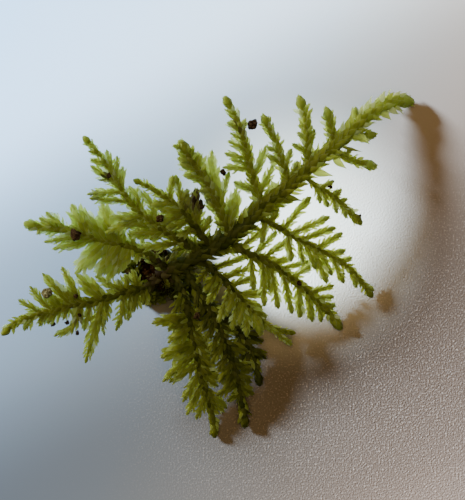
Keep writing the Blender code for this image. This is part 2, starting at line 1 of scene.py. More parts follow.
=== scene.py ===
# %% [markdown]
# # A sprig of feather moss
#
# A feather moss grows like a fern. One main shoot carries fronds on both sides, and each frond carries
# narrow twigs, all nearly in one sheet. Every one of these stems is covered with leaves about a millimetre
# long and only one cell thick, which let light through. At the broken foot hangs a tuft of dead brown
# leaves and soil, and soil grains are caught between the leaves.
#
# The sprig could be made as a few painted sheets, but from the side those would look like paper. So the
# leaves are made one by one: each kind of leaf is modelled once, and stamped along every stem some thousands
# of times. The solids of the frame give the place, the length and the width of each stem.

# %% Load the frame
import math

import bmesh
import bpy
import numpy as np
from mathutils import Matrix, Vector
from mathutils.kdtree import KDTree


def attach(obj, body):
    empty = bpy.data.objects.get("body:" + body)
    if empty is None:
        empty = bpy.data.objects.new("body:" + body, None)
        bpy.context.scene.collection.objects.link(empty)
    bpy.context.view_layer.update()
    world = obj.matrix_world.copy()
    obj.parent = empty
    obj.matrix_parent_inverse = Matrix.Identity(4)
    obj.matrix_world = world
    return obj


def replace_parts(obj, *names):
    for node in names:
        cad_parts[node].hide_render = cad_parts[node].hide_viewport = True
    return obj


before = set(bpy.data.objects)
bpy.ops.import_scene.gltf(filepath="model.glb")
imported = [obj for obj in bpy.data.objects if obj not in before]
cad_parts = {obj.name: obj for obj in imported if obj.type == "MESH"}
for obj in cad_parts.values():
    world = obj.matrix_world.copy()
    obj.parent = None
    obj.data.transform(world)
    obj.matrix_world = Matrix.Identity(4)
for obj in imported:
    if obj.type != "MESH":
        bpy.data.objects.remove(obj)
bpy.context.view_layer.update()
bpy.ops.object.select_all(action="DESELECT")
print("frame:", len(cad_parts), "solids")

# %% [markdown]
# ## Sizes
#
# The sprig is 41 mm long, so everything below is written in millimetres and scaled once, when a mesh is
# made. The sheet of the sprig slopes at 20 degrees: its lower right rim lies on the table, and its upper
# left rim stands clear of it. CENTRE moves the drawing so that the origin lies under the middle of the sprig.

# %% Sizes shared by all the stems
MM = 0.001
TABLE = 0.0
CENTRE = Vector((0.13, -0.1, 0))
SLOPE = 0.364                     # rise of the sheet
UPHILL = Vector((-0.88, 0.48))    # the level direction in which it rises
TWIG_SHARE = 0.85                 # how closely a twig keeps to that slope
TWIG_ARCH = 0.05                  # how far a twig arches upwards, as a share of its length
TWIG_CLEAR = 0.05                 # lowest skin of a twig over the table
UP = Vector((0, 0, 1))

# %% [markdown]
# ## The stems
#
# Each stem is a list of places that its axis passes, read from the photograph, with the thickness of
# the leafy stem at both ends. A twig is (foot x, foot y, tip x, tip y, thickness) and, if it curves, how far
# forward. Lift takes the twig tips on the left and on the right above or below the sheet, so that the twigs
# of neighbouring fronds pass each other. These are the numbers that the solids were made from, so leaves
# and solids agree from every side.

# %% The main shoot, from its broken foot to its growing tip
MAIN_SHOOT = dict(
    thick=(1.6, 1.35), lift=(0, 0),
    axis=[(-4.9, -1, 4.3), (-2.2, 0.3, 5.1), (0.5, 1.7, 5.5), (3.2, 3.6, 5.6), (5.6, 5.9, 5.5),
          (8, 7.7, 5.3), (10.1, 9.7, 4.9), (11.9, 11.2, 4.4), (13.7, 12.8, 3.7), (14.7, 13.7, 3.3),
          (15.6, 14.6, 2.8), (16.5, 15.3, 2.4), (17.4, 15.9, 2), (18.5, 16.3, 1.5), (19.6, 16.45, 1),
          (20.7, 16.35, 0.72)],
    twigs=[(15.4, 13.8, 14.85, 15.8, 0.5), (6.2, 6.3, 8.6, 6.4, 0.7), (5, 5.4, 7.2, 5.6, 0.8),
           (0.4, 1.6, 3.3, 1.4, 0.7)])

# %% The fronds
FRONDS = {
    "upper_frond_1": dict(
        thick=(1, 1), lift=(0, 0),
        axis=[(12.9, 11.8, 4.1), (12.45, 13.5, 4.3), (11.95, 15.7, 4.4)],
        twigs=[]),
    "upper_frond_2": dict(
        thick=(1, 1), lift=(-0.3, -0.3),
        axis=[(10.3, 9.8, 4.9), (10.05, 11.5, 5.1), (9.95, 13.1, 5.3), (9.8, 14.8, 5.45),
              (9.2, 16.85, 5.6)],
        twigs=[(9.9, 11.1, 8.55, 12.1, 0.5), (9.8, 12.5, 9.1, 13.25, 0.5), (9.8, 13.5, 9.2, 14, 0.5),
               (10.1, 11.7, 10.75, 13.55, 0.5)]),
    "upper_frond_3": dict(
        thick=(0.9, 0.9), lift=(0.35, 0.35),
        axis=[(8.2, 7.5, 5.3), (7.9, 8.8, 5.5), (7.5, 10.2, 5.9), (7.1, 11.7, 6.2), (6.5, 13.1, 6.5),
              (5.55, 14.95, 6.9)],
        twigs=[(7.6, 9.3, 8.4, 11.6, 0.5), (8, 8.3, 9.1, 10.35, 0.5), (8, 8.4, 8.8, 9.05, 0.5),
               (7.4, 10.1, 6.05, 10.9, 0.7), (7.1, 11.2, 6, 11.8, 0.5)]),
    "upper_frond_4": dict(
        thick=(1.1, 0.9), lift=(0.3, -0.35),
        axis=[(5.5, 5.4, 5.5), (4.9, 7.5, 6), (4.4, 9.3, 6.5), (3.9, 11.5, 7.1), (3.4, 13.3, 7.5),
              (2.8, 14.8, 7.9), (1.75, 16.8, 8.4)],
        twigs=[(3.1, 13.4, 2, 14.25, 0.7), (3.4, 12.4, 2.3, 13.2, 0.4), (3.6, 11.4, 2.1, 12.4, 0.6),
               (4, 10.6, 1.75, 11.15, 0.6), (4, 10.1, 2.4, 10.45, 0.4), (4.3, 9.6, 1.55, 9.75, 0.6),
               (4.8, 7.2, 2.65, 8.3, 0.6), (4.7, 8.6, 6.05, 12.05, 0.6), (5.1, 6.8, 6.8, 10.3, 0.6),
               (3.4, 13.4, 3.95, 14.25, 0.5)]),
    "upper_frond_5": dict(
        thick=(1.2, 1.2), lift=(0.35, -0.5),
        axis=[(2.4, 2.7, 5.5), (1.7, 4.3, 6.3), (1, 6.1, 7), (-0.1, 8.3, 8), (-1.6, 10.4, 9),
              (-2.7, 12.4, 9.7)],
        twigs=[(-2.1, 11.3, -3.35, 11.95, 0.5), (-1.5, 10.2, -2.9, 10.65, 0.8),
               (-0.7, 9.2, -2.7, 10.2, 0.8), (-0.4, 8.5, -2.3, 9, 0.7), (-0.9, 9.7, -0.85, 11.2, 0.9),
               (-1.7, 10.9, -1.4, 11.6, 0.8), (1.2, 5.6, 0.5, 11.5, 1.2, -0.07),
               (1.25, 5.8, 2.2, 9.3, 0.5), (2.2, 3.5, 3.05, 7.9, 1), (1.9, 3.7, 2.25, 6.4, 0.8),
               (1.5, 5, -0.1, 6.8, 0.7), (1.8, 3.9, 0.8, 4.3, 0.6), (0.4, 7.2, -0.7, 7.5, 0.8)]),
    "middle_frond": dict(
        thick=(1.2, 0.6), lift=(0.6, 0.6),
        axis=[(0.5, 1.6, 5.6), (-1.1, 3.7, 7), (-3, 5.9, 8.2), (-5.3, 7.5, 9), (-7.3, 8.5, 9.6)],
        twigs=[(-3.9, 6.4, -3.4, 8.9, 0.6), (-2, 5.1, -3.15, 8.95, 0.6), (-2.9, 5.8, -1.9, 7.5, 0.7),
               (-1.7, 3.9, -1.1, 7.6, 0.8), (-1.3, 3.4, -0.6, 6.5, 0.7), (-2.2, 4.8, -2, 7.2, 0.8),
               (-0.6, 3, 0.35, 4.9, 0.7), (-2.7, 5.3, -4.7, 5.4, 0.9), (-3.5, 6.2, -5.5, 6, 0.8),
               (-2.4, 4.9, -4.6, 4.2, 0.7), (-1.8, 4.4, -4, 3.7, 0.7), (-1.2, 3.8, -2.9, 2.9, 0.7)]),
    "left_frond_1": dict(
        thick=(1.1, 0.7), lift=(0.45, -0.2),
        axis=[(-0.7, 1.1, 5.4), (-2.7, 2.5, 6.9), (-5.2, 4, 7.9), (-7.1, 5.6, 8.6), (-8.5, 7.5, 9.6),
              (-9.7, 9.5, 10.5), (-11, 11.3, 11.3), (-12.3, 12.8, 11.9)],
        twigs=[(-10.9, 11.1, -11.8, 11.35, 0.4), (-10.2, 10, -11.6, 10.5, 0.6),
               (-8.9, 7.7, -11.6, 9.9, 0.7), (-8.5, 7.3, -11.95, 7.05, 0.6), (-7.7, 6.4, -11.7, 6.65, 0.6),
               (-9.3, 9, -10, 11.5, 0.6), (-9.1, 8.4, -8.95, 10.9, 0.5), (-8.6, 7.8, -8.4, 9.8, 0.7),
               (-6.6, 5.1, -7.8, 7.9, 0.7, 0.1), (-5, 3.9, -7, 7.7, 0.6, 0.12),
               (-6.1, 4.7, -9.7, 4.85, 0.8), (-6.3, 4.8, -10.1, 3.2, 0.7), (-4.7, 3.7, -5.5, 5.9, 0.8),
               (-3.5, 3.1, -4.4, 5, 0.8), (-2.1, 2.2, -3.1, 3.9, 0.7), (-1.3, 1.6, -2.4, 3.2, 0.7),
               (-0.9, 1.3, -1.3, 2.9, 0.6), (-5, 3.9, -9, 4.15, 0.6), (-4.2, 3.4, -7.9, 3.1, 0.9),
               (-4.2, 3.4, -5.7, 2.5, 0.6), (-2.3, 2.3, -6.8, 1.75, 0.7)]),
    "left_frond_2": dict(
        thick=(1.1, 1), lift=(0.4, 0.4),
        axis=[(-3.9, -0.4, 5), (-6.4, 1.3, 6.5), (-8.9, 2.1, 7.4), (-10.9, 2.6, 8.1), (-12.5, 3.2, 8.8),
              (-14.1, 3.5, 9.4), (-16.2, 3.7, 10.1), (-18.2, 4.15, 10.8)],
        twigs=[(-14.9, 3.6, -16.7, 4.75, 0.6), (-14, 3.5, -16.05, 5.3, 0.7), (-12, 3.1, -13.5, 6.1, 1.2),
               (-10.3, 2.5, -12.6, 5.5, 1.2), (-9.2, 2.3, -10.55, 6.4, 1.2),
               (-11.9, 2.8, -16.25, 2.3, 0.6), (-10.9, 2.4, -15.4, 1.6, 0.7),
               (-10.2, 2.4, -13.2, -0.9, 1.2), (-8.9, 1.9, -11, -1.2, 1.2), (-9.7, 2.2, -10.6, -0.9, 0.8),
               (-8.3, 1.8, -10, -1.8, 0.9), (-7.7, 1.6, -9.1, -0.9, 0.9), (-8.5, 2.1, -8.9, 4.3, 0.9),
               (-7.3, 1.7, -7.7, 3.5, 0.7), (-6.7, 1.4, -7.1, 0.3, 0.7), (-6.2, 1.2, -6.5, 2.7, 0.6),
               (-16.7, 3.8, -16.8, 3.1, 0.7)]),
    "left_frond_3": dict(
        thick=(1.1, 0.8), lift=(-0.3, -0.3),
        axis=[(-4.5, -1.2, 4.4), (-6.2, -2.2, 4.8), (-8, -2.7, 5.2), (-9.7, -3.2, 5.6),
              (-11.6, -3.65, 6.1), (-13.5, -4, 6.6), (-15.3, -4.5, 7.1), (-17.1, -5, 7.6),
              (-18.9, -5.6, 8.1), (-20.45, -6.95, 8.5)],
        twigs=[(-16.5, -4.7, -18.85, -3.45, 0.5), (-15.7, -4.4, -17.7, -2.1, 0.6),
               (-13.5, -3.9, -16.45, -0.8, 0.9), (-12.7, -3.8, -14.6, -2, 0.6),
               (-12.6, -3.6, -14.5, -0.15, 0.6), (-10.4, -3.3, -13.1, -0.9, 1.1),
               (-8.3, -2.7, -11.2, -1.1, 0.6), (-7.9, -2.7, -8.2, -1, 0.8), (-6.9, -2.4, -7.5, -0.5, 0.7),
               (-14.7, -4.2, -16.1, -3, 0.9), (-13.9, -4.1, -14.3, -5.4, 0.7),
               (-15.5, -4.6, -16.9, -5.8, 0.5), (-17.4, -5.2, -18.25, -6.5, 0.6),
               (-16.2, -4.9, -16.7, -6.1, 0.7), (-14.7, -4.4, -16, -5.8, 0.8),
               (-12.7, -3.8, -15.3, -7.1, 0.6, 0.22), (-12.8, -3.9, -13.1, -5.6, 0.9),
               (-11.5, -3.8, -12.3, -6.6, 0.6), (-10.4, -3.4, -12.15, -9.8, 0.8),
               (-10.7, -4.8, -10.25, -7.05, 0.4), (-9.9, -3.3, -10.25, -6, 0.6),
               (-8.35, -3, -9.1, -6.6, 0.6, 0.07), (-7.6, -2.9, -7.9, -5.6, 0.5),
               (-7.1, -2.5, -7.3, -4.6, 0.8), (-6.2, -2.2, -6.4, -4, 0.8), (-8.5, -2.8, -8.9, -1.5, 0.7),
               (-7.3, -2.5, -6.7, -1.5, 0.7)]),
    "right_frond_1": dict(
        thick=(0.7, 1), lift=(0, 0),
        axis=[(12.5, 11.4, 4), (13.8, 10.75, 3.6), (15.1, 10.3, 3), (16.95, 9.85, 2.2)],
        twigs=[(13.6, 10.8, 14.5, 11.7, 0.5)]),
    "right_frond_2": dict(
        thick=(0.8, 0.9), lift=(0, 0),
        axis=[(14.5, 12.9, 3.4), (15.6, 12.95, 2.9), (16.9, 13.05, 2.4)],
        twigs=[]),
    "right_frond_3": dict(
        thick=(0.6, 0.9), lift=(0.2, 0.2),
        axis=[(9.9, 8.7, 4.9), (11, 7.85, 4.5), (12.5, 6.95, 3.9), (13.95, 5.65, 3.1), (15.45, 4.1, 2.5)],
        twigs=[(11.3, 7.7, 12.7, 8.4, 0.5), (12.5, 6.8, 13.45, 7.55, 0.6), (13.2, 6.2, 14, 6.65, 0.5),
               (10.9, 7.8, 11.35, 6.2, 0.5), (11.6, 7.5, 12.1, 5.8, 0.5), (12.4, 6.8, 13, 5.2, 0.5),
               (13.4, 5.9, 13.95, 4.7, 0.5)]),
    "lower_frond_1": dict(
        thick=(0.8, 0.7), lift=(0.3, 0.3),
        axis=[(5.1, 4.8, 5.5), (7.3, 3.65, 4.7), (9.3, 2.5, 3.8), (11.3, 1.5, 2.9), (13.75, 0.1, 1.9),
              (15.25, -1.45, 1.1), (16.6, -3.2, 0.45)],
        twigs=[(7.6, 3.6, 10.35, 6.8, 0.6), (8.4, 3.2, 12.25, 4.8, 0.6), (9.3, 2.6, 12.85, 3.75, 0.6),
               (10.9, 1.6, 13.55, 3.2, 0.6), (12.1, 1, 13.85, 1.45, 0.6), (13.4, 0.1, 14.5, 0.75, 0.5),
               (5.9, 4.4, 5.45, 2.2, 0.6), (7.9, 3, 8.45, 0.4, 0.6), (9.1, 2.4, 9.6, 0.3, 0.5),
               (10.4, 1.5, 12, -1.75, 0.7), (11.1, 1.2, 12.5, -1.05, 0.5), (12.3, 0.5, 13.7, -1.8, 0.6),
               (9.8, 2.2, 10.9, -0.4, 0.6), (6.2, 4.4, 7.1, 5.4, 0.7), (14.4, -0.8, 14.95, -2.25, 0.5),
               (15.5, -2.2, 16.75, -2.55, 0.4)]),
    "lower_frond_2": dict(
        thick=(1, 0.9), lift=(-0.3, -0.3),
        axis=[(2.6, 2.1, 5.5), (4.5, 0.95, 4.7), (6.1, 0.35, 4.1), (7.6, -0.7, 3.4), (9, -1.8, 2.6),
              (10.4, -3, 1.8), (12, -4.55, 1), (13.45, -6.5, 0.5)],
        twigs=[(4.6, 0.9, 7, 3.35, 0.5), (5.5, 0.7, 8.4, 2.6, 0.6), (6.5, 0.1, 8.6, 0.8, 0.6),
               (8.4, -1.4, 10.55, 0, 0.6), (10.1, -2.8, 12.7, -2.05, 0.5), (10.6, -3.4, 12.7, -3.2, 0.5),
               (11.5, -4.3, 12.85, -4.05, 0.6), (4.4, 1, 4.7, -2.5, 0.6), (5.6, 0.5, 5.75, -4.1, 0.6),
               (6.3, 0.2, 7.15, -4.35, 0.6), (7.5, -0.7, 8.55, -4.85, 0.6), (9.2, -1.9, 9.35, -5.25, 0.7),
               (10.1, -2.7, 10.55, -5.65, 0.6), (11, -3.7, 11.45, -5.7, 0.5), (3.3, 1.7, 5.9, 3.7, 0.5),
               (7.3, -0.4, 10.4, 0.4, 0.5), (5.9, 0.4, 6.3, -2.7, 0.5)]),
    "lower_frond_3": dict(
        thick=(0.8, 0.5), lift=(-0.6, 0.5),
        axis=[(-0.3, 0.4, 5.3), (1.3, -1.15, 4.7), (2.7, -2.55, 4.1), (4, -3.95, 3.5), (5.1, -5.3, 2.8),
              (6.4, -6.25, 2.1), (8.85, -6.85, 1.2)],
        twigs=[(0.5, -0.3, 4.05, 0.85, 0.5), (1.5, -1.3, 4.4, -0.2, 0.6), (2.3, -2, 4.5, -1.25, 0.6),
               (3.1, -3, 5.6, -2.75, 0.7), (3.7, -3.5, 5.5, -4.3, 0.6), (4.9, -5.5, 8.5, -8, 0.5),
               (4.4, -4.4, 5.9, -5.2, 0.8), (4.6, -4.8, 5.4, -7, 0.8), (0.2, -0.3, -1.05, -1.8, 0.5),
               (1.4, -1.5, 0, -3.9, 0.5), (2.2, -2.3, 1.2, -5.7, 0.5), (3.1, -3.1, 2.5, -6.5, 0.5),
               (4.1, -4.1, 3.9, -7.1, 0.6), (1, -0.9, -0.2, -2.7, 0.8), (2.7, -2.7, 1.9, -5, 0.7),
               (3.6, -3.6, 3.2, -6, 0.7)]),
    "lower_frond_4": dict(
        thick=(1, 0.8), lift=(-0.4, 0.3),
        axis=[(-3.5, -0.5, 4.8), (-2.6, -2.5, 4.6), (-2.05, -4.1, 4.1), (-1.7, -6.5, 3.4), (-1.1, -9, 2.5),
              (-0.5, -11.5, 1.7), (0.1, -13.5, 1), (0.6, -15.5, 0.6), (0.75, -17.3, 0.42)],
        twigs=[(-2.1, -5.2, -5.55, -5.85, 0.9), (-1.9, -6.2, -3.95, -7.8, 0.9),
               (-1.5, -7.9, -4.65, -9.3, 1.2), (-1.2, -8.7, -4.45, -11.7, 0.7),
               (-0.8, -9.8, -3.8, -11.75, 0.8), (-0.7, -10.6, -2.45, -13.75, 0.6),
               (-0.4, -11.7, -2.05, -15.05, 0.6), (-0.1, -12.9, -1.1, -15.5, 0.6),
               (-2.4, -3.1, -3.4, -4.8, 0.8), (-1.9, -5.7, -3.9, -6.5, 0.8), (-1.9, -5.2, -0.2, -6.5, 0.8),
               (-1.6, -7, 0.4, -8.5, 0.8), (-1.2, -8.5, 0.8, -10.1, 0.8), (-0.8, -10, 1.2, -11.5, 0.8),
               (-0.1, -12.3, 2, -14.4, 0.6), (0.2, -13.4, 1.8, -14.8, 0.4), (-2.1, -4.1, -0.6, -5.3, 0.6),
               (-1.8, -6.3, 0.1, -7.8, 0.7), (-1.4, -7.7, 0.6, -9.3, 0.7), (-1, -9.2, 0.8, -10.8, 0.7),
               (-0.6, -10.9, 1.1, -12.2, 0.6)]),
    "lower_frond_5": dict(
        thick=(1, 0.9), lift=(0, 0.5),
        axis=[(-2.4, 0.2, 5.1), (-1.5, -1.6, 4.8), (-0.2, -3.6, 4.2), (0.9, -5.7, 3.5), (1.9, -8, 2.7),
              (2.8, -10.7, 1.9), (3.4, -13.1, 1.15), (3.85, -16.3, 0.5)],
        twigs=[(3.2, -11.8, 0.9, -13.1, 0.6), (3.4, -12.8, 2, -13.7, 0.5), (0.3, -4.7, -0.7, -6.8, 0.6),
               (1.3, -6.6, 0.2, -8.7, 0.6), (2.2, -8.7, 1.1, -10.6, 0.6), (0.1, -4.1, 2.1, -5.1, 0.6),
               (1, -5.9, 3.1, -6.9, 0.6), (1.8, -7.6, 4, -8.7, 0.7), (2.5, -9.5, 4.5, -10.7, 0.7),
               (3.2, -11.7, 4.6, -13, 0.7), (2.8, -10.6, 4.4, -11.8, 0.8), (-1, -2.4, -0.95, -4.2, 0.7),
               (-0.4, -3.3, -0.9, -5.4, 0.7), (0.8, -5.5, -0.2, -7.6, 0.7), (1.8, -7.6, 0.5, -9.7, 0.8),
               (2.5, -9.7, 1.2, -11.8, 0.8), (2.8, -10.8, 1.7, -12.4, 0.6)]),
    "lower_frond_6": dict(
        thick=(1.1, 0.8), lift=(-0.3, -0.3),
        axis=[(-2.7, -1.4, 2.3), (-0.4, -3.5, 2.3), (1.9, -5.3, 1.9), (3.6, -7.2, 1.6), (4.7, -9.3, 1),
              (5.3, -12.1, 0.5)],
        twigs=[(2.3, -5.7, 5.1, -6.1, 0.8), (3.4, -7, 5.6, -7.7, 0.8), (4.3, -8.5, 5.9, -9.3, 0.8),
               (3.3, -6.9, 2.9, -9.3, 0.8), (4.2, -8.4, 3.8, -10.8, 0.8), (1.4, -4.9, 2, -7.2, 0.8),
               (3.9, -7.8, 3.3, -10, 0.8)]),
}

# %% [markdown]
# ## Lines to follow
#
# A stem bends smoothly through its places, so a Catmull-Rom curve is drawn through them. A twig starts on
# the axis of its frond, at the place nearest to its foot, and rises or falls with the slope of the sheet.

# %% Lines for axes and twigs
LINE_STEPS = 8                    # short straight bits to one stretch of an axis
TWIG_STEPS = 10


def smooth_line(points, steps):
    """Places along a smooth curve through the points, steps + 1 of them, ends included."""
    knots = [Vector(p) for p in points]
    knots = [2 * knots[0] - knots[1]] + knots + [2 * knots[-1] - knots[-2]]
    spans = len(knots) - 3
    line = []
    for step in range(steps + 1):
        place = step / steps * spans
        span = min(int(place), spans - 1)
        t = place - span
        a, b, c, d = knots[span:span + 4]
        line.append(0.5 * (2 * b + (c - a) * t + (2 * a - 5 * b + 4 * c - d) * t ** 2
                           + (3 * b - a - 3 * c + d) * t ** 3))
    return line


def on_axis(axis, x, y):
    """The place on an axis that is nearest to a point, seen from above, the axis's way there, and how far
    along the axis it is."""
    spot = Vector((x, y))
    places = []
    for i, (a, b) in enumerate(zip(axis, axis[1:])):
        run = (b - a).xy
        share = min(max((spot - a.xy).dot(run) / run.length_squared, 0), 1)
        places.append((a.lerp(b, share), run, (i + share) / (len(axis) - 1)))
    return min(places, key=lambda place: (place[0].xy - spot).length)


def twig_line(axis, twig, lift):
    """The line of a twig from the axis to its tip, and how far along the axis it starts."""
    foot_x, foot_y, tip_x, tip_y, thick, *bend = twig
    foot, along, share = on_axis(axis, foot_x, foot_y)
    run = Vector((tip_x, tip_y)) - foot.xy
    on_left = along.cross(run) > 0
    rise = SLOPE * TWIG_SHARE * run.dot(UPHILL) + (lift[0] if on_left else lift[1])
    tip = Vector((tip_x, tip_y, max(foot.z + rise, TABLE + TWIG_CLEAR + thick / 2)))
    forward = (along - run * along.dot(run) / run.length_squared).normalized()
    middle = foot.lerp(tip, 0.5) + Vector((0, 0, TWIG_ARCH * run.length))
    middle -= (forward * sum(bend) * run.length).to_3d()
    return smooth_line([foot, middle, tip], TWIG_STEPS), share


def walk(line, pitch, end):
    """Places at equal distances along a line, up to end before its tip: (place, way, share of the length,
    distance to the last place)."""
    bits = [(b - a).length for a, b in zip(line, line[1:])]
    whole = sum(bits)
    count = max(2, round((whole - end) / pitch))
    places, bit, passed = [], 0, 0.0
    for step in range(count + 1):
        at = (whole - end) * step / count
        while bit < len(bits) - 1 and passed + bits[bit] < at:
            passed += bits[bit]
            bit += 1
        a, b = line[bit], line[bit + 1]
        places.append((a.lerp(b, min((at - passed) / bits[bit], 1)), (b - a).normalized(), at / whole,
                       whole - end - at))
    return places


twigs = sum(len(spec["twigs"]) for spec in FRONDS.values())
print("fronds:", len(FRONDS), "twigs:", twigs)

# %% [markdown]
# ## The camera
#
# The photograph looks straight down on the sprig from far off, so the picture is nearly free of
# perspective. A very long lens gives the same. It is 50 mm high at the middle height of the sheet.

# %% Camera
PICTURE_HEIGHT = 50.0
PICTURE_MIDDLE = Vector((2.42, 1.6, 5.0))
LENS = 1000.0
SENSOR = 36.0

view_distance = PICTURE_HEIGHT * LENS / SENSOR
bpy.ops.object.camera_add(location=(PICTURE_MIDDLE + UP * view_distance) * MM, rotation=(0, 0, 0))
camera = bpy.context.object
camera.name = "camera"
camera.data.lens = LENS
camera.data.sensor_width = SENSOR
camera.data.clip_start = 0.1
camera.data.clip_end = 10.0
bpy.context.scene.camera = camera
print("camera", round(view_distance), "mm above the sprig")

# %% [markdown]
# ## Finishes
#
# A finish is a set of nodes. The class below adds one node for each call, and lets sums on sockets be
# written as sums: 1 - mask adds a Math node by itself.

# %% A small class for finishes


class Value:
    """One output of a node. Arithmetic on it adds Math nodes."""

    def __init__(self, finish, socket):
        self.finish, self.socket = finish, socket

    def maths(self, operation, *others):
        sockets = dict(enumerate([self, *others]))
        return self.finish.node("ShaderNodeMath", {"operation": operation}, sockets)

    def reversed_maths(self, operation, other):
        return self.finish.node("ShaderNodeMath", {"operation": operation}, {0: other, 1: self})

    def __add__(self, other):
        return self.maths("ADD", other)

    def __sub__(self, other):
        return self.maths("SUBTRACT", other)

    def __rsub__(self, other):
        return self.reversed_maths("SUBTRACT", other)

    def __mul__(self, other):
        return self.maths("MULTIPLY", other)

    __radd__ = __add__
    __rmul__ = __mul__

    def __abs__(self):
        return self.maths("ABSOLUTE")

    def between(self, low, high):
        """0 below low and 1 above high, with a soft step between them."""
        return self.finish.node("ShaderNodeMapRange", {"interpolation_type": "SMOOTHSTEP"},
                                {0: self, 1: low, 2: high, 3: 0.0, 4: 1.0})


class Finish:
    """One material, built by calls that each add a node."""

    def __init__(self, name):
        self.material = bpy.data.materials.new(name)
        self.material.use_nodes = True
        self.tree = self.material.node_tree
        self.tree.nodes.clear()

    def node(self, kind, settings, sockets, output=0):
        made = self.tree.nodes.new(kind)
        for key, setting in settings.items():
            if key == "stops":
                ramp = made.color_ramp.elements
                while len(ramp) < len(setting):
                    ramp.new(1.0)
                for element, (place, colour) in zip(ramp, setting):
                    element.position = place
                    element.color = (*colour, 1)
            elif key == "blend":
                made.color_ramp.interpolation = setting
            else:
                setattr(made, key, setting)
        for key, value in sockets.items():
            if isinstance(value, Value):
                self.tree.links.new(value.socket, made.inputs[key])
            else:
                made.inputs[key].default_value = value
        return Value(self, made.outputs[output])

    def attribute(self, name):
        return self.node("ShaderNodeAttribute", {"attribute_name": name}, {}, "Fac")

    def uv(self):
        """How far across the leaf and how far along it."""
        whole = self.node("ShaderNodeUVMap", {"uv_map": "UVMap"}, {})
        return (self.node("ShaderNodeSeparateXYZ", {}, {0: whole}, 0),
                self.node("ShaderNodeSeparateXYZ", {}, {0: whole}, 1))

    def place(self):
        """Where a point of the piece is, in millimetres."""
        whole = self.node("ShaderNodeTexCoord", {}, {}, "Object")
        return self.node("ShaderNodeMapping", {}, {"Vector": whole, "Scale": [1 / MM] * 3})

    def noise(self, vector, scale, detail=2.0):
        return self.node("ShaderNodeTexNoise", {}, {"Vector": vector, "Scale": scale, "Detail": detail})

    def vector_maths(self, operation, a, b, output=0):
        return self.node("ShaderNodeVectorMath", {"operation": operation}, {0: a, 1: b}, output)

    def ramp(self, at, stops, blend="LINEAR"):
        """A colour for each value of at. Stops are places from 0 to 1 with their colours."""
        return self.node("ShaderNodeValToRGB", {"stops": stops, "blend": blend}, {0: at})

    def mix(self, factor, a, b):
        """A colour between two others."""
        return self.node("ShaderNodeMix", {"data_type": "RGBA"}, {0: factor, 6: a, 7: b}, 2)

    def bump(self, height, distance, strength=1.0):
        return self.node("ShaderNodeBump", {}, {"Height": height, "Distance": distance * MM,
                                                "Strength": strength})

    def skin(self, colour, roughness, shine, normal):
        """A surface that no light passes."""
        return self.node("ShaderNodeBsdfPrincipled", {}, {
            "Base Color": colour, "Roughness": roughness, "Specular IOR Level": shine, "Normal": normal})

    def thin_skin(self, colour, roughness, shine, normal, through):
        """A surface that lets a share of the light through."""
        skin = self.skin(colour, roughness, shine, normal)
        glow = self.node("ShaderNodeBsdfTranslucent", {}, {"Color": colour, "Normal": normal})
        return self.node("ShaderNodeMixShader", {}, {0: through, 1: skin, 2: glow})

    def done(self, shader):
        result = self.tree.nodes.new("ShaderNodeOutputMaterial")
        self.tree.links.new(shader.socket, result.inputs["Surface"])
        print("finish:", self.material.name, len(self.tree.nodes), "nodes")
        return self.material

# %% [markdown]
# ## The light
#
# The shadow tells where the light is. It falls to the lower right, far from the sprig, so the window stands
# low at the upper left, about 20 degrees above the table, and it is broad, because the shadow's edge is
# soft. What light is left comes from the whole room and is warm and weak. Both are lamps that are as far
# away as the sun, so they light every part of the table alike. Moss is far darker than the table, so the
# lamps of the table shine on the table alone, and the sprig, which still shades it, has lamps of its own.

# %% Light
WINDOW_WAY = Vector((-0.88, 0.48, 0.345)).normalized()
ROOM_COLOUR = (1.0, 0.91, 0.76, 1.0)
ROOM_STRENGTH = 0.03
LAMP_DISTANCE = 0.3               # only where a lamp is drawn: a sun lights the same from anywhere
# Name, the way to it, how broad it looks in degrees, its strength and its colour
TABLE_LAMPS = [
    ("window_on_table", WINDOW_WAY, 10, 33.0, (0.82, 0.93, 1.0)),
    ("room_on_table", UP, 60, 2.1, (1.0, 0.62, 0.25)),
]
SPRIG_LAMPS = [
    ("window", WINDOW_WAY, 15, 2.3, (1.0, 1.0, 0.90)),
    ("ceiling", Vector((-0.2, 0.25, 1.0)).normalized(), 50, 1.3, (1.0, 1.0, 0.92)),
]


def add_lamp(name, way, broad, strength, colour):
    """A lamp that is as far away as the sun, in one direction."""
    bpy.ops.object.light_add(type="SUN", location=way * LAMP_DISTANCE)
    lamp = bpy.context.object
    lamp.name = name
    lamp.rotation_euler = (-way).to_track_quat("-Z", "Y").to_euler()
    lamp.data.energy = strength
    lamp.data.color = colour
    lamp.data.angle = math.radians(broad)
    return lamp


table_lamps = [add_lamp(*lamp) for lamp in TABLE_LAMPS]
sprig_lamps = [add_lamp(*lamp) for lamp in SPRIG_LAMPS]
world = bpy.data.worlds.new("room")
world.use_nodes = True
world.node_tree.nodes["Background"].inputs["Color"].default_value = ROOM_COLOUR
world.node_tree.nodes["Background"].inputs["Strength"].default_value = ROOM_STRENGTH
bpy.context.scene.world = world
print("lamps:", [lamp.name for lamp in table_lamps + sprig_lamps])

# %% [markdown]
# ## The table top
#
# Satin plastic: pale, with a fine grain that glitters. Light and shade are painted into its colour: a painted
# pool of light, bright at the top and darker towards the bottom, cool at the left and warm at the right,
# painted glare behind the right-hand fronds, and painted glints in the grain at the lower right. These are
# broad soft changes of its colour here, so that they stay where they are from every side.

# %% Table top
TABLE_WIDE = 4.0
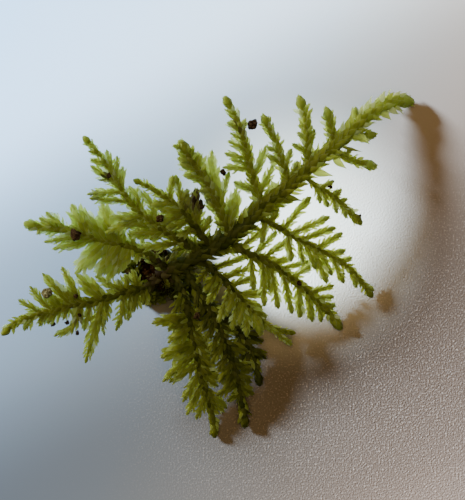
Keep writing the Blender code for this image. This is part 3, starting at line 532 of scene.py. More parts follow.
# Painted light and shade: how bright the table is painted along a line down the picture, and the painted
# tint of the light along a line to the right: the place in millimetres and the colour. The tints are halved,
# because a ramp's colours end at one.
PAINTED_LIGHT_TONES = [(-30, 0.70), (-21, 0.74), (-15, 0.35), (-9, 0.19), (-2, 0.165), (4, 0.09), (11, 0.045), (20, 0.065),
         (30, 0.07), (48, 0.24), (78, 0.5)]
PAINTED_LIGHT_TINTS = [(-30, (0.27, 0.49, 0.80)), (0, (0.43, 0.50, 0.57)), (12, (0.50, 0.49, 0.49)),
         (24, (0.64, 0.50, 0.43)), (38, (0.66, 0.50, 0.43)), (78, (0.51, 0.50, 0.49))]
DOWN = (0.45, -0.9, 0)
RIGHT = (1, -0.5, 0)
RAMP_START, RAMP_LENGTH = -40, 120
# Painted glare: the window's reflection in the satin, painted into its colour as a pale patch behind the
# right-hand fronds
GLARE_PLACE, GLARE_REACH = (9, 3.5, 0), 15
GLARE_COLOUR = (0.90, 0.97, 0.97, 1)
# Painted glints: pale specks of the grain at the lower right, painted into its colour; the grain's relief
# there is real
GLITTER_PLACE, GLITTER_REACH = (20, -14, 0), 34
GLITTER_COLOUR = (0.75, 0.66, 0.60, 1)
GLITTER_SHARE = 0.30              # how far a painted glint takes that colour
GLINT_HEIGHTS = (0.52, 0.76)             # height of the grain at which a painted glint begins, and at which it is full
GRAINS = 5.5                      # grains of the surface to a millimetre
GRAIN_DEPTH = 0.12
PLAIN_GRAIN = 0.01                # how much of its relief shows where nothing glitters
SATIN_ROUGHNESS = 0.38
SATIN_SHINE = 0.25
bpy.ops.mesh.primitive_plane_add(size=TABLE_WIDE, location=(0, 0, TABLE))
table_top = bpy.context.object
table_top.name = "table_top"
satin = Finish("satin_table")
satin_place = satin.place()


def along_table(way, stops):
    """A ramp of colours along a line on the table."""
    at = satin.vector_maths("DOT_PRODUCT", satin_place, way, "Value")
    stops = [((place - RAMP_START) / RAMP_LENGTH, colour) for place, colour in stops]
    return satin.ramp((at - RAMP_START) * (1 / RAMP_LENGTH), stops, "B_SPLINE")


def near(place, reach):
    """1 at a place on the table, falling to 0 at its reach."""
    return satin.vector_maths("DISTANCE", satin_place, place, "Value").between(reach, 0)


# painted light and shade: bright and cool at the top left, darker and warmer towards the bottom and the right
painted_light_tone = along_table(DOWN, [(place, (bright, bright, bright)) for place, bright in PAINTED_LIGHT_TONES])
painted_light_tinted = satin.vector_maths("MULTIPLY", painted_light_tone, along_table(RIGHT, PAINTED_LIGHT_TINTS))
doubled = satin.vector_maths("MULTIPLY", painted_light_tinted, (2, 2, 2))
# painted glare: a pale patch of reflected light mixed into the colour
with_painted_glare = satin.mix(near(GLARE_PLACE, GLARE_REACH), doubled, GLARE_COLOUR)
grain = satin.noise(satin_place, GRAINS, 3.0)
glittering = near(GLITTER_PLACE, GLITTER_REACH)
# painted glints: pale specks of the grain mixed into the colour
painted_glints = grain.between(*GLINT_HEIGHTS) * glittering * GLITTER_SHARE
satin_colour = satin.mix(painted_glints, with_painted_glare, GLITTER_COLOUR)
satin_bump = satin.bump(grain, GRAIN_DEPTH, glittering * 0.98 + PLAIN_GRAIN)
satin_shader = satin.skin(satin_colour, SATIN_ROUGHNESS, SATIN_SHINE, satin_bump)
table_top.data.materials.append(satin.done(satin_shader))
for lamps, state in ((table_lamps, "INCLUDE"), (sprig_lamps, "EXCLUDE")):
    lit = bpy.data.collections.new("table_" + state.lower())
    lit.objects.link(table_top)
    lit.collection_objects[0].light_linking.link_state = state
    for lamp in lamps:
        lamp.light_linking.receiver_collection = lit

# %% [markdown]
# ## The leaf's finish
#
# A moss leaf is one layer of long green cells. It is glossy while it is damp, and most of its colour comes
# through it from behind. Its margin is clearer than its middle, young leaves are bright, and old ones turn
# olive, then brown. Every leaf carries three numbers for this: age, brown and tint. The first holds
# the leaf's age and also painted light and shade: leaves at the sides of a stem are painted paler, as if lit
# through, and those on top, at the dark foot and on the lower fronds darker, as painted shade. The shader is
# a glossy surface mixed with a translucent one. The dead leaves of the tuft have the same finish, but dull
# and dark.

# %% Leaf finish
AGE_STOPS = [(0.0, (0.83, 0.90, 0.44)), (0.12, (0.65, 0.75, 0.15)), (0.35, (0.54, 0.60, 0.085)),
             (0.6, (0.385, 0.40, 0.036)), (0.8, (0.21, 0.22, 0.012)), (1.0, (0.072, 0.082, 0.005))]
MARGIN_COLOUR = (0.84, 0.90, 0.52, 1)
MARGIN_SHARE = 0.35               # how far a young leaf's margin takes that colour
MARGIN = (0.6, 1.0)               # where it begins and is full, on the way from the middle to the edge
OLIVE = (0.60, 0.52, 0.08, 1)
OLIVE_SHARE = 0.25                # how far the tint takes a leaf to olive at most
WORN_PATCHES = 1.1                # patches to a millimetre that look older or younger
WORN = 0.3                        # by how much
CELL_SHADES = 0.1                 # how much single cells differ
CELLS_ACROSS, CELLS_ALONG = 26, 7
CELL_SHIFT = 50                   # gives each leaf cells of its own, by its tint
BROWNING = (0.15, 0.95)           # brown at which a leaf begins to turn, and at which it has turned
DARK_DEAD = (0.05, 0.025, 0.006, 1)
PALE_DEAD = (0.24, 0.17, 0.06, 1)
LEAF_RELIEF = 0.015
EDGE_RISE = 0.8                   # how far the edge stands up over the middle, in heights of a cell


def leaf_finish(name, roughness, shine, through, dark_dead, pale_dead):
    """Leaves of one roughness and shine, which let a share of the light through, and the two colours that
    dead ones have."""
    leaf = Finish(name)
    age, brown, tint = (leaf.attribute(key) for key in ("age", "brown", "tint"))
    across, along = leaf.uv()
    side = abs(across - 0.5) * 2
    cell_place = {0: across * CELLS_ACROSS, 1: along * CELLS_ALONG, 2: tint * CELL_SHIFT}
    cells = leaf.noise(leaf.node("ShaderNodeCombineXYZ", {}, cell_place), 1.0)
    worn = leaf.noise(leaf.place(), WORN_PATCHES)
    # the leaf's age with the painted light and shade it carries, plus worn patches and single cells
    looks_old_and_lit = age + (worn - 0.5) * WORN + (cells - 0.5) * CELL_SHADES
    green = leaf.mix(OLIVE_SHARE * tint, leaf.ramp(looks_old_and_lit, AGE_STOPS), OLIVE)
    clear = side.maths("MAXIMUM", along).between(*MARGIN) * (1 - age) * MARGIN_SHARE
    green = leaf.mix(clear, green, MARGIN_COLOUR)
    dead = leaf.mix(tint, dark_dead, pale_dead)
    colour = leaf.mix(brown.between(*BROWNING), green, dead)
    bump = leaf.bump(cells + side * EDGE_RISE, LEAF_RELIEF)
    return leaf.done(leaf.thin_skin(colour, roughness, shine, bump, through))


leaf_material = leaf_finish("moss_leaf", 0.5, 0.15, 0.65, DARK_DEAD, PALE_DEAD)
dead_material = leaf_finish("dead_leaf", 0.8, 0.04, 0.3, (0.016, 0.005, 0.001, 1), (0.085, 0.032, 0.008, 1))

# %% [markdown]
# ## The stem's finish
#
# The stems are thin and wiry, with faint ridges. They are olive green, and darker where they are old.

# %% Stem finish
YOUNG_STEM = (0.55, 0.63, 0.08)
STEM_RIDGES = 5.0                 # ridges to a millimetre
STEM_RELIEF = 0.03
STEM_ROUGHNESS, STEM_SHINE, STEM_THROUGH = 0.5, 0.15, 0.5

stem = Finish("moss_stem")
# the stem's age attribute also carries the painted shade of the sprig's dark foot
stem_old_and_shaded = stem.attribute("age") + (stem.noise(stem.place(), WORN_PATCHES) - 0.5) * WORN
stem_green = stem.ramp(stem_old_and_shaded, [(0.0, YOUNG_STEM), *AGE_STOPS[2:]])
stem_colour = stem.mix(stem.attribute("brown").between(*BROWNING), stem_green, DARK_DEAD)
stem_bump = stem.bump(stem.noise(stem.place(), STEM_RIDGES), STEM_RELIEF)
stem_material = stem.done(stem.thin_skin(stem_colour, STEM_ROUGHNESS, STEM_SHINE, stem_bump, STEM_THROUGH))

# %% [markdown]
# ## Soil
#
# The grains and the heart of the tuft are damp dark soil: nearly black, with a few rusty and grey crumbs. One
# grain is a crust that has dried pale.

# %% Soil finish
CRUMBS = 6.0                      # crumbs to a millimetre
CRUMB_DEPTH = 0.08
CRUMB_STOPS = (0.35, 0.5, 0.62, 0.78)
SOIL_ROUGHNESS, SOIL_SHINE = 0.85, 0.04


def soil_finish(name, *colours):
    """Soil in four colours, from its hollows to its lightest crumbs."""
    soil = Finish(name)
    crumbs = soil.noise(soil.place(), CRUMBS, 4.0)
    colour = soil.ramp(crumbs, list(zip(CRUMB_STOPS, colours)))
    return soil.done(soil.skin(colour, SOIL_ROUGHNESS, SOIL_SHINE, soil.bump(crumbs, CRUMB_DEPTH)))


soil_material = soil_finish("tuft_soil", (0.012, 0.004, 0.001), (0.035, 0.011, 0.003),
                            (0.07, 0.024, 0.006), (0.11, 0.05, 0.018))
grain_material = soil_finish("soil_grain", (0.014, 0.006, 0.002), (0.04, 0.019, 0.007),
                             (0.10, 0.056, 0.023), (0.24, 0.16, 0.08))
patch_material = soil_finish("pale_soil", (0.06, 0.04, 0.015), (0.16, 0.13, 0.05),
                             (0.30, 0.26, 0.12), (0.50, 0.45, 0.28))
PALE_PATCH = "soil_grain_18"

# %% [markdown]
# ## Modelling a leaf
#
# Each kind of leaf starts as a flat grid, one unit long. Its rows are drawn in to the leaf's outline, its
# last row is merged into a point, and its sides are bent down, so that it clasps the stem. The stem leaf is
# broad with a long point, and the twig leaf is narrow. A piece holds hundreds of them, so each has only a
# few dozen faces.

# %% Leaf shapes


def pick(leaf, test):
    """Selects the vertices of the object in edit mode that pass the test, and no others."""
    grid = bmesh.from_edit_mesh(leaf.data)
    for vert in grid.verts:
        vert.select_set(bool(test(vert.co)))
    grid.select_flush_mode()
    bmesh.update_edit_mesh(leaf.data)


def model_leaf(name, columns, halves, cup, bow):
    """A leaf from its foot at the origin along +Y, one unit long, with its hollow side down. Halves are half
    its width at equal steps, cup is how far its sides bend down, and bow how far each row stands up."""
    rows = len(halves) - 1
    bpy.ops.mesh.primitive_grid_add(x_subdivisions=columns, y_subdivisions=rows, size=1, location=(0, 0.5, 0))
    leaf = bpy.context.object
    leaf.name = name
    bpy.ops.object.transform_apply(location=True)
    bpy.ops.object.mode_set(mode="EDIT")
    for column in range(columns + 1):
        place = column / columns - 0.5
        pick(leaf, lambda co: abs(co.x - place) < 0.01)
        bpy.ops.transform.translate(value=(0, 0, -cup * (2 * abs(place)) ** 2))
    for row, (half, rise) in enumerate(zip(halves, bow)):
        pick(leaf, lambda co: abs(co.y - row / rows) < 0.01)
        if half > 0:
            bpy.ops.transform.resize(value=(2 * half, 1, 2 * half), center_override=(0, row / rows, 0))
        else:
            bpy.ops.mesh.merge(type="CENTER")
        bpy.ops.transform.translate(value=(0, 0, rise))
    bpy.ops.object.mode_set(mode="OBJECT")
    bpy.ops.object.shade_smooth()
    bpy.ops.object.select_all(action="DESELECT")
    print(name, len(leaf.data.vertices), "vertices", len(leaf.data.polygons), "faces")
    return leaf


STEM_LEAF = model_leaf("stem_leaf", 4, (0.18, 0.28, 0.33, 0.31, 0.24, 0.14, 0.06, 0.0), 0.22,
                       (0, 0.04, 0.07, 0.09, 0.09, 0.07, 0.04, 0.0))
FROND_LEAF = model_leaf("frond_leaf", 4, (0.16, 0.26, 0.30, 0.27, 0.17, 0.0), 0.3,
                        (0, 0.05, 0.07, 0.07, 0.05, 0.0))
TWIG_LEAF = model_leaf("twig_leaf", 2, (0.10, 0.18, 0.19, 0.14, 0.0), 0.15, (0, 0.05, 0.07, 0.05, 0.0))
DEAD_LEAF = model_leaf("dead_leaf", 4, (0.14, 0.26, 0.27, 0.20, 0.10, 0.0), 1.1,
                       (0, 0.05, 0.07, 0.05, -0.03, -0.12))

# %% [markdown]
# ## Modelling a bud
#
# The youngest leaves at a tip are folded round each other into a blunt bud. It starts as a sphere, is drawn
# out to an egg that is narrower at its tip, and every second side of it is pulled in, so that it looks
# wrapped.

# %% Bud shape
BUD_SIDES = 8
BUD_RINGS = 6
BUD_HALF = 0.29                   # half its width, where it is one unit long
BUD_SHOULDER = 0.6                # from here on it gets narrower,
BUD_TIP = 0.8                     # to this share
BUD_FOLD = 0.88                   # how far every second side is pulled in

bpy.ops.mesh.primitive_uv_sphere_add(segments=BUD_SIDES, ring_count=BUD_RINGS, radius=0.5,
                                     location=(0, 0.5, 0), rotation=(-math.pi / 2, 0, 0))
BUD = bpy.context.object
BUD.name = "bud"
bpy.ops.object.transform_apply(location=True, rotation=True)
bpy.ops.object.mode_set(mode="EDIT")
# The faces of a new sphere are in another order in each run, so they are sorted by their corners
ball = bmesh.from_edit_mesh(BUD.data)
ball.verts.index_update()
ball.faces.sort(key=lambda face: sum(2 ** vert.index for vert in face.verts))
bpy.ops.transform.resize(value=(2 * BUD_HALF, 1, 2 * BUD_HALF), center_override=(0, 0.5, 0))
pick(BUD, lambda co: co.y > BUD_SHOULDER)
bpy.ops.transform.resize(value=(BUD_TIP, 1, BUD_TIP), center_override=(0, 0.5, 0))
pick(BUD, lambda co: co.xz.length > 0.01 and round(math.atan2(co.z, co.x) / math.tau * BUD_SIDES) % 2)
bpy.ops.transform.resize(value=(BUD_FOLD, 1, BUD_FOLD), center_override=(0, 0.5, 0))
bpy.ops.object.mode_set(mode="OBJECT")
bpy.ops.object.shade_smooth()
bpy.ops.object.select_all(action="DESELECT")
print("bud:", len(BUD.data.polygons), "faces")

# %% [markdown]
# ## Stamping leaves
#
# A stamp reads a modelled leaf once and repeats it at every spot of a list. A spot is the leaf's foot, its
# three own directions, its length and its three numbers for the finish. All the leaves and buds of a stem
# come out as one mesh.

# %% Stamping
LOWEST_LEAF = 0.02                # how far a leaf stays clear of the table


def to_piece(name, mesh, material):
    """A mesh drawn in millimetres becomes a piece of the sprig."""
    mesh.transform(Matrix.Scale(MM, 4) @ Matrix.Translation(-CENTRE))
    mesh.materials.clear()
    mesh.materials.append(material)
    piece = bpy.data.objects.new(name, mesh)
    bpy.context.collection.objects.link(piece)
    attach(piece, "root")
    return piece


def read_all(rows, key, width=1, kind=float):
    """One property of all the vertices, faces or corners of a mesh, in one array."""
    values = np.empty(len(rows) * width, kind)
    rows.foreach_get(key, values)
    return values


def write_number(mesh, key, values):
    """A number for each vertex, which the finishes read by its name."""
    mesh.attributes.new(key, "FLOAT", "POINT").data.foreach_set("value", values)


def stamp(name, *prints):
    """One mesh for pairs of a modelled leaf and its spots, with the leaf at every spot."""
    points, corners, starts, uvs = [], [], [], []
    point_count = corner_count = 0
    for leaf, spots in prints:
        shape = leaf.data
        outline = read_all(shape.vertices, "co", 3).reshape(-1, 3)
        turns = np.array([[spot["across"], spot["way"], spot["out"]] for spot in spots])
        lengths = np.array([spot["length"] for spot in spots])
        feet = np.array([spot["foot"] for spot in spots])
        placed = np.einsum("vk,nkj->nvj", outline, turns) * lengths[:, None, None] + feet[:, None, :]
        too_low = TABLE + LOWEST_LEAF - placed[:, :, 2].min(axis=1)
        placed[:, :, 2] += np.maximum(too_low, 0)[:, None]
        each = np.arange(len(spots))[:, None]
        points.append(placed.ravel())
        corners.append((read_all(shape.loops, "vertex_index", kind=int) + point_count
                        + each * len(shape.vertices)).ravel())
        starts.append((read_all(shape.polygons, "loop_start", kind=int) + corner_count
                       + each * len(shape.loops)).ravel())
        uvs.append(np.tile(read_all(shape.uv_layers[0].uv, "vector", 2), len(spots)))
        point_count += len(spots) * len(shape.vertices)
        corner_count += len(spots) * len(shape.loops)
    mesh = bpy.data.meshes.new(name)
    mesh.vertices.add(point_count)
    mesh.vertices.foreach_set("co", np.concatenate(points))
    mesh.loops.add(corner_count)
    mesh.loops.foreach_set("vertex_index", np.concatenate(corners))
    starts = np.concatenate(starts)
    mesh.polygons.add(len(starts))
    mesh.polygons.foreach_set("loop_start", starts)
    mesh.uv_layers.new(name="UVMap").uv.foreach_set("vector", np.concatenate(uvs))
    for key in ("age", "brown", "tint"):
        values = [np.repeat([spot[key] for spot in spots], len(leaf.data.vertices)) for leaf, spots in prints]
        write_number(mesh, key, np.concatenate(values))
    mesh.update(calc_edges=True)
    mesh.validate()
    mesh.shade_smooth()
    return mesh


def take_mesh(shown):
    """The mesh of an object, which itself goes."""
    mesh = shown.data
    bpy.data.objects.remove(shown)
    return mesh

# %% [markdown]
# ## Leaves along a stem
#
# Leaves stand in a spiral, each turned 137.5 degrees from the last, and overlap like tiles. Those at the
# sides of a stem spread a little more than those on top, because the sprig grew as a flat sheet. Towards
# the tip they get shorter and close up into a bud. Leaves at the sides are painted paler than those on top,
# as if lit through from behind, and a few of them paler still, as painted glints.

# %% Leaves along a stem
GOLDEN_TURN = math.radians(137.5)
TURN_LOOSE = 0.35                 # how far a leaf's turn may be off, in radians
BUD_DEPTH = 0.9                   # how far before the tip the leaves begin to close up, in stem widths
BUD_LENGTH = 0.65                 # length of the last leaves, as a share of the others
BUD_SPREAD = 0.35                 # how far they still spread
TIP_REACH = 0.3                   # how far a leaf reaches past the tip of its stem at most
LEAF_LENGTHS = (0.82, 1.12)       # shortest and longest leaf, as a share of the usual one
TOP_SPREAD = 0.15                 # how far the leaves on top spread, where those at the sides spread by one
WIDE_FLANK = 0.7                  # how far at the side a leaf is that may stand off wider,
WIDE_LEAVES = 0.3                 # the share of them that do,
WIDE_SPREAD = 18                  # and by how many degrees
GLOW_FLANK = 0.6                  # how far at the side a leaf is that may be painted paler, as if lit through,
GLOWING_LEAVES = 0.25                # the share of them that are,
GLOW_PALER = 0.4                       # and by how much paler they are painted, by looking younger
FLANK_PAINTED_GLOW = 0.25              # painted backlight: how much paler the leaves at the sides are painted than those on top, which are painted darker
AGE_LOOSE = 0.05
BROWN_LOOSE = 0.12

# Brown and dirty places: x, y, radius, strength
BROWN_PLACES = [(5.8, 13.4, 0.35, 0.9), (3.0, 13.9, 0.35, 0.6), (3.4, 13.1, 0.35, 0.6),
                (-1.0, 6.2, 1.4, 1.0), (-11.0, 7.0, 0.9, 0.6), (-9.8, 8.7, 0.4, 0.8), (-7.0, -0.3, 0.8, 0.7),
                (-13.3, -5.0, 0.8, 0.6), (-15.9, -2.8, 0.8, 0.7), (-5.2, -0.7, 1.3, 1.0)]

DARK_FOOT_PLACE = Vector((-2.5, -0.5))  # the dark foot of the sprig, where age and painted shade make all leaves darker
DARK_FOOT_RADIUS = 4.0
FOOT_DARKENING_STRENGTH = 0.4


def brownness(place):
    """How brown a leaf is at a place, from 0 to 1 or a little more."""
    most = 0.0
    for x, y, radius, strength in BROWN_PLACES:
        away = math.hypot(place.x - x, place.y - y) / radius
        most = max(most, strength * math.exp(-away ** 2))
    return most


def foot_darkening(place):
    """How much darker than its stem a leaf is made close to the dark foot of the sprig: partly age, partly
    painted shade.
    """
    return FOOT_DARKENING_STRENGTH * math.exp(-((place.xy - DARK_FOOT_PLACE).length / DARK_FOOT_RADIUS) ** 2)


def leaf_spots(line, widths, dress, ages_and_shade, chance):
    """The spots of the leaves of one stem. Widths are those of the leafy stem at equal steps, dress is what
    its kind of stem wears, and ages_and_shade are how old its leaves look at foot and tip, with painted shade
    on some fronds. Leaves at the sides are painted paler, as if lit through."""
    spots = []
    longest = dress["length"] * max(widths)
    end = longest * dress["bud"]
    for n, (place, along, share, left) in enumerate(walk(line, longest * dress["pitch"], end)):
        width = np.interp(share, np.linspace(0, 1, len(widths)), widths)
        close = max(1 - left / (BUD_DEPTH * width), 0)
        side = along.cross(UP).normalized()
        over = side.cross(along)
        turn = n * GOLDEN_TURN + chance.uniform(-TURN_LOOSE, TURN_LOOSE)
        flank = abs(math.cos(turn))
        away = math.cos(turn) * side + math.sin(turn) * over
        face = away.lerp(over * math.copysign(1, math.sin(turn)), dress["flat"] * flank)
        spread = dress["spread"] + chance.normal(0, dress["loose"])
        spread *= TOP_SPREAD + flank * (1 - TOP_SPREAD)
        if flank > WIDE_FLANK and chance.uniform() < WIDE_LEAVES:
            spread += WIDE_SPREAD
        spread = math.radians(spread) * (1 - (1 - BUD_SPREAD) * close)
        way = math.cos(spread) * along + math.sin(spread) * away
        length = dress["length"] * width * (1 - (1 - BUD_LENGTH) * close) * chance.uniform(*LEAF_LENGTHS)
        length = min(length, left + end + TIP_REACH)
        foot = place + away * dress["stem"] * width * 0.5 * (1 - 0.5 * close)
        way.z = max(way.z, (TABLE + LOWEST_LEAF - foot.z) / length)
        way.normalize()
        across = way.cross(face).normalized()
        out = across.cross(way)
        age = ages_and_shade[0] + (ages_and_shade[1] - ages_and_shade[0]) * share + chance.normal(0, AGE_LOOSE)
        # Painted light: leaves at the sides are painted paler, as if lit through, those on top darker, and a
        # few side leaves paler still as painted glints
        age = min(age + FLANK_PAINTED_GLOW * (GLOW_FLANK - flank), 1.0)
        if flank > GLOW_FLANK and chance.uniform() < GLOWING_LEAVES:
            age = max(age - GLOW_PALER, 0)
        spots.append(dict(foot=foot, way=way, across=across * dress["wide"], out=out, length=length,
                          age=age + foot_darkening(place), brown=brownness(place) + chance.normal(0, BROWN_LOOSE),
                          tint=chance.uniform(0, 1)))
    return spots

# %% [markdown]
# ## What each kind of stem wears
#
# The main shoot has broad leaves that stand off it. The twigs of most fronds are narrow strips with blunt
# tips, so their leaves are short and close. Some fronds have twigs that run to a point, and their widest
# twigs look like one pointed blade. So a dress says how long and wide a leaf is, in widths of the stem, and
# pitch how close the leaves are, in leaf lengths. Spread is how many degrees they stand off, and loose how
# much that differs. Flat turns the leaves at the sides into the sheet, stem is where they are rooted, as a
# share of the stem's half width, and bud how far before the tip the last ones start, in leaf lengths.

# %% Dresses
MAIN_DRESS = dict(length=0.85, wide=0.9, pitch=0.07, spread=29, loose=11, flat=0.3, stem=0.84, bud=0.4)
FROND_DRESS = dict(length=0.92, wide=0.95, pitch=0.10, spread=27, loose=9, flat=0.4, stem=0.58, bud=0.4)
TWIG_DRESS = dict(length=0.95, wide=1.0, pitch=0.11, spread=21, loose=6, flat=0.7, stem=0.44, bud=0.40)
SLIM_DRESS = dict(length=0.95, wide=0.85, pitch=0.10, spread=18, loose=5, flat=0.7, stem=0.5, bud=0.35)
BLADE_DRESS = dict(length=0.95, wide=0.95, pitch=0.07, spread=13, loose=4, flat=0.85, stem=0.6, bud=0.2)
# The width of a twig with its leaves, from foot to tip, for each width that its solid has
TWIG_WIDTHS = (1.2, 1.3, 1.34, 1.3, 1.1)
SLIM_WIDTHS = (1.15, 1.45, 1.5, 1.2, 0.55)
BLADE_WIDTHS = (1.2, 1.35, 1.2, 0.8, 0.25)
SLIM_TWIGGED = ("left_frond_1", "left_frond_2", "left_frond_3", "lower_frond_4", "lower_frond_5",
                "lower_frond_6", "upper_frond_4")
BLADE_WIDTH = 0.9                 # twigs of this width and more look like one pointed blade
BUD_SIZE = 1.5                    # length of a bud, in widths of its stem
BUD_INSIDE = 0.93                 # share of it that lies before the tip of the stem
FAT_BUD = 1.25                    # how much broader the bud of a shoot or frond is than that of a twig


def twig_dress(name, thick):
    """How the width of a twig changes along it, and what it wears."""
    if thick >= BLADE_WIDTH:
        return BLADE_WIDTHS, BLADE_DRESS
    if name in SLIM_TWIGGED:
        return SLIM_WIDTHS, SLIM_DRESS
    return TWIG_WIDTHS, TWIG_DRESS


def bud_spot(line, width, age, fat=1.0):
    """The spot of the bud at the tip of a line. A fat bud is broader than a plain one of its length."""
    way = (line[-1] - line[-2]).normalized()
    across = way.cross(UP).normalized()
    length = BUD_SIZE * width
    return dict(foot=line[-1] - way * length * BUD_INSIDE, way=way, across=across * fat,
                out=across.cross(way) * fat, length=length, age=age, brown=brownness(line[-1]), tint=0.2)


# How old the leaves of each stem look: at its foot, at its tip, and at the tips of its twigs. The lower
# fronds are made darker still, as painted shade.
AGES_AND_SHADE = {
    "main_shoot": (1.15, 0.12, 0.2),
    "upper_frond_1": (0.55, 0.25, 0.2), "upper_frond_2": (0.55, 0.3, 0.2),
    "upper_frond_3": (0.55, 0.3, 0.2), "upper_frond_4": (0.6, 0.35, 0.2),
    "upper_frond_5": (0.6, 0.45, 0.2), "middle_frond": (0.8, 0.4, 0.35),
    "left_frond_1": (0.65, 0.25, 0.25), "left_frond_2": (0.65, 0.22, 0.18),
    "left_frond_3": (0.9, 0.5, 0.45), "right_frond_1": (0.5, 0.16, 0.25),
    "right_frond_2": (0.5, 0.25, 0.25), "right_frond_3": (0.6, 0.45, 0.35),
    "lower_frond_1": (0.75, 0.5, 0.35), "lower_frond_2": (0.8, 0.5, 0.35),
    "lower_frond_3": (0.85, 0.6, 0.45), "lower_frond_4": (0.95, 0.7, 0.55),
    "lower_frond_5": (1.05, 0.9, 0.85), "lower_frond_6": (1.1, 1.0, 1.0),
}

# %% [markdown]
# ## Stems
#
# Under the leaves runs a thin round stem, and from it one for each twig. They are drawn as curves with a
# round bevel, thinner towards their tips, and turned into a mesh.

# %% Stems
STEM_BEVEL = 2                    # resolution of the bevel, which gives eight flats
STEM_SHARE = {"main": 0.92, "axis": 0.66, "twig": 0.42}
STEM_ROUND = 2.0                  # how far before its tip a stem begins to get rounder, in its radii
STEM_TIP = 0.02                   # keeps its last ring open a little, so that no face is empty


def stem_mesh(name, lines):
    """One mesh with a round stem along every line, which closes inside the bud at its tip. A line comes with
    its radii at equal steps and two ages, and the age and painted shade of the sprig's dark foot are added to
    them."""
    bpy.ops.curve.primitive_bezier_curve_add()
    curve = bpy.context.object.data
    curve.splines.clear()
    curve.dimensions = "3D"
    curve.bevel_depth = 1.0
    curve.bevel_resolution = STEM_BEVEL
    curve.use_fill_caps = True
    known = []
    for line, radii, ages_and_shade in lines:
        spline = curve.splines.new("POLY")
        spline.points.add(len(line) - 1)
        for i, (point, place) in enumerate(zip(spline.points, line)):
            share = i / (len(line) - 1)
            radius = np.interp(share, np.linspace(0, 1, len(radii)), radii)
            left = (line[-1] - place).length / (STEM_ROUND * radius)
            point.co = (*place, 1)
            point.radius = radius * math.sqrt(min(left + STEM_TIP, 1))
            known.append((place, ages_and_shade[0] + (ages_and_shade[1] - ages_and_shade[0]) * share))
    bpy.ops.object.convert(target="MESH")
    mesh = take_mesh(bpy.context.object)
    nearest = KDTree(len(known))
    for i, (place, age) in enumerate(known):
        nearest.insert(place, i)
    nearest.balance()
    ages_and_shade = [known[nearest.find(vert.co)[1]][1] + foot_darkening(vert.co) for vert in mesh.vertices]
    write_number(mesh, "age", ages_and_shade)
    write_number(mesh, "brown", [brownness(vert.co) for vert in mesh.vertices])
    mesh.shade_smooth()
    return mesh

# %% [markdown]
# ## Single leaves that stand off
#
# The main shoot has a few leaves that stand off it alone, some old and dark, some as clear as glass. They are
# listed one by one.

# %% Leaves that stand off the main shoot
# Foot x and y, tip x and y, how wide, age and brown
LOOSE_LEAVES = [
    (6.3, 6.5, 6.6, 8.0, 1.0, 0, 0.1), (7.0, 7.2, 6.4, 8.5, 1.4, 0.1, 0.35),
    (7.5, 6.9, 9.6, 6.4, 0.5, 1.0, 0), (13.6, 11.8, 15.6, 11.3, 0.25, 0.7, 0.4),
    (10.5, 9.4, 12.7, 8.9, 0.55, 0.2, 0), (12.7, 10.6, 14.0, 9.6, 0.65, 0.2, 0),
    (15.0, 13.1, 16.3, 12.1, 0.8, 0.15, 0), (17.4, 15.5, 18.5, 14.5, 0.8, 0.1, 0),
]
LOOSE_HEIGHT = 0.2                # how far over the axis they start


def loose_spot(axis, foot_x, foot_y, tip_x, tip_y, wide, age, brown):
    """The spot of a single leaf, as high as the axis beside it."""
    foot = Vector((foot_x, foot_y, on_axis(axis, foot_x, foot_y)[0].z + LOOSE_HEIGHT))
    run = Vector((tip_x - foot_x, tip_y - foot_y, 0))
    across = run.cross(UP).normalized()
    return dict(foot=foot, way=run.normalized(), across=across * wide, out=UP, length=run.length,
                age=age, brown=brown, tint=0.5)


print("leaves that stand off:", len(LOOSE_LEAVES))

# %% [markdown]
# ## The leafy stems
#
# Each frond becomes two pieces: its stems, and its leaves with the leaves of its twigs. The leaves stand
# for the solid. The foot of a twig looks halfway between the age of its frond there and that of the twig
# tips, and its tip looks younger than both.

# %% Dress every stem
TWIG_TIP_AGE = 0.8                # age of a twig's tip, as a share of the lower one of the two


def dress_stem(name, spec, number):
    """The stems and the leaves of a frond or of the main shoot."""
    chance = np.random.default_rng(number)
    main = name == "main_shoot"
    axis = smooth_line(spec["axis"], LINE_STEPS * (len(spec["axis"]) - 1))
    foot_age, tip_age, twig_age = AGES_AND_SHADE[name]
    radii = [STEM_SHARE["main" if main else "axis"] * thick / 2 for thick in spec["thick"]]
    lines = [(axis, radii, (foot_age, tip_age))]
    dress = MAIN_DRESS if main else FROND_DRESS
    on_stem = leaf_spots(axis, spec["thick"], dress, (foot_age, tip_age), chance)
    if main:
        on_stem += [loose_spot(axis, *leaf) for leaf in LOOSE_LEAVES]
    buds = [bud_spot(axis, spec["thick"][1], tip_age, FAT_BUD)]
    on_twigs = []
    for twig in spec["twigs"]:
        thick = twig[4]
        line, share = twig_line(axis, twig, spec["lift"])
        age = foot_age + (tip_age - foot_age) * share
        ages_and_shade = (0.5 * (age + twig_age), TWIG_TIP_AGE * min(age, twig_age))
        shape, dress = twig_dress(name, thick)
        lines.append((line, [STEM_SHARE["twig"] * thick * wide / 2 for wide in shape], ages_and_shade))
        on_twigs += leaf_spots(line, [thick * wide for wide in shape], dress, ages_and_shade, chance)
        buds.append(bud_spot(line, thick * shape[-1], ages_and_shade[1] + foot_darkening(line[-1])))
    to_piece(f"{name}_stems", stem_mesh(f"{name}_stems", lines), stem_material)
    prints = [(STEM_LEAF if main else FROND_LEAF, on_stem), (BUD, buds)]
    if on_twigs:
        prints.append((TWIG_LEAF, on_twigs))
    leaves = to_piece(f"{name}_leaves", stamp(name, *prints), leaf_material)
    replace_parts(leaves, name)
    return len(on_stem) + len(on_twigs), sum(len(p.vertices) - 2 for p in leaves.data.polygons)


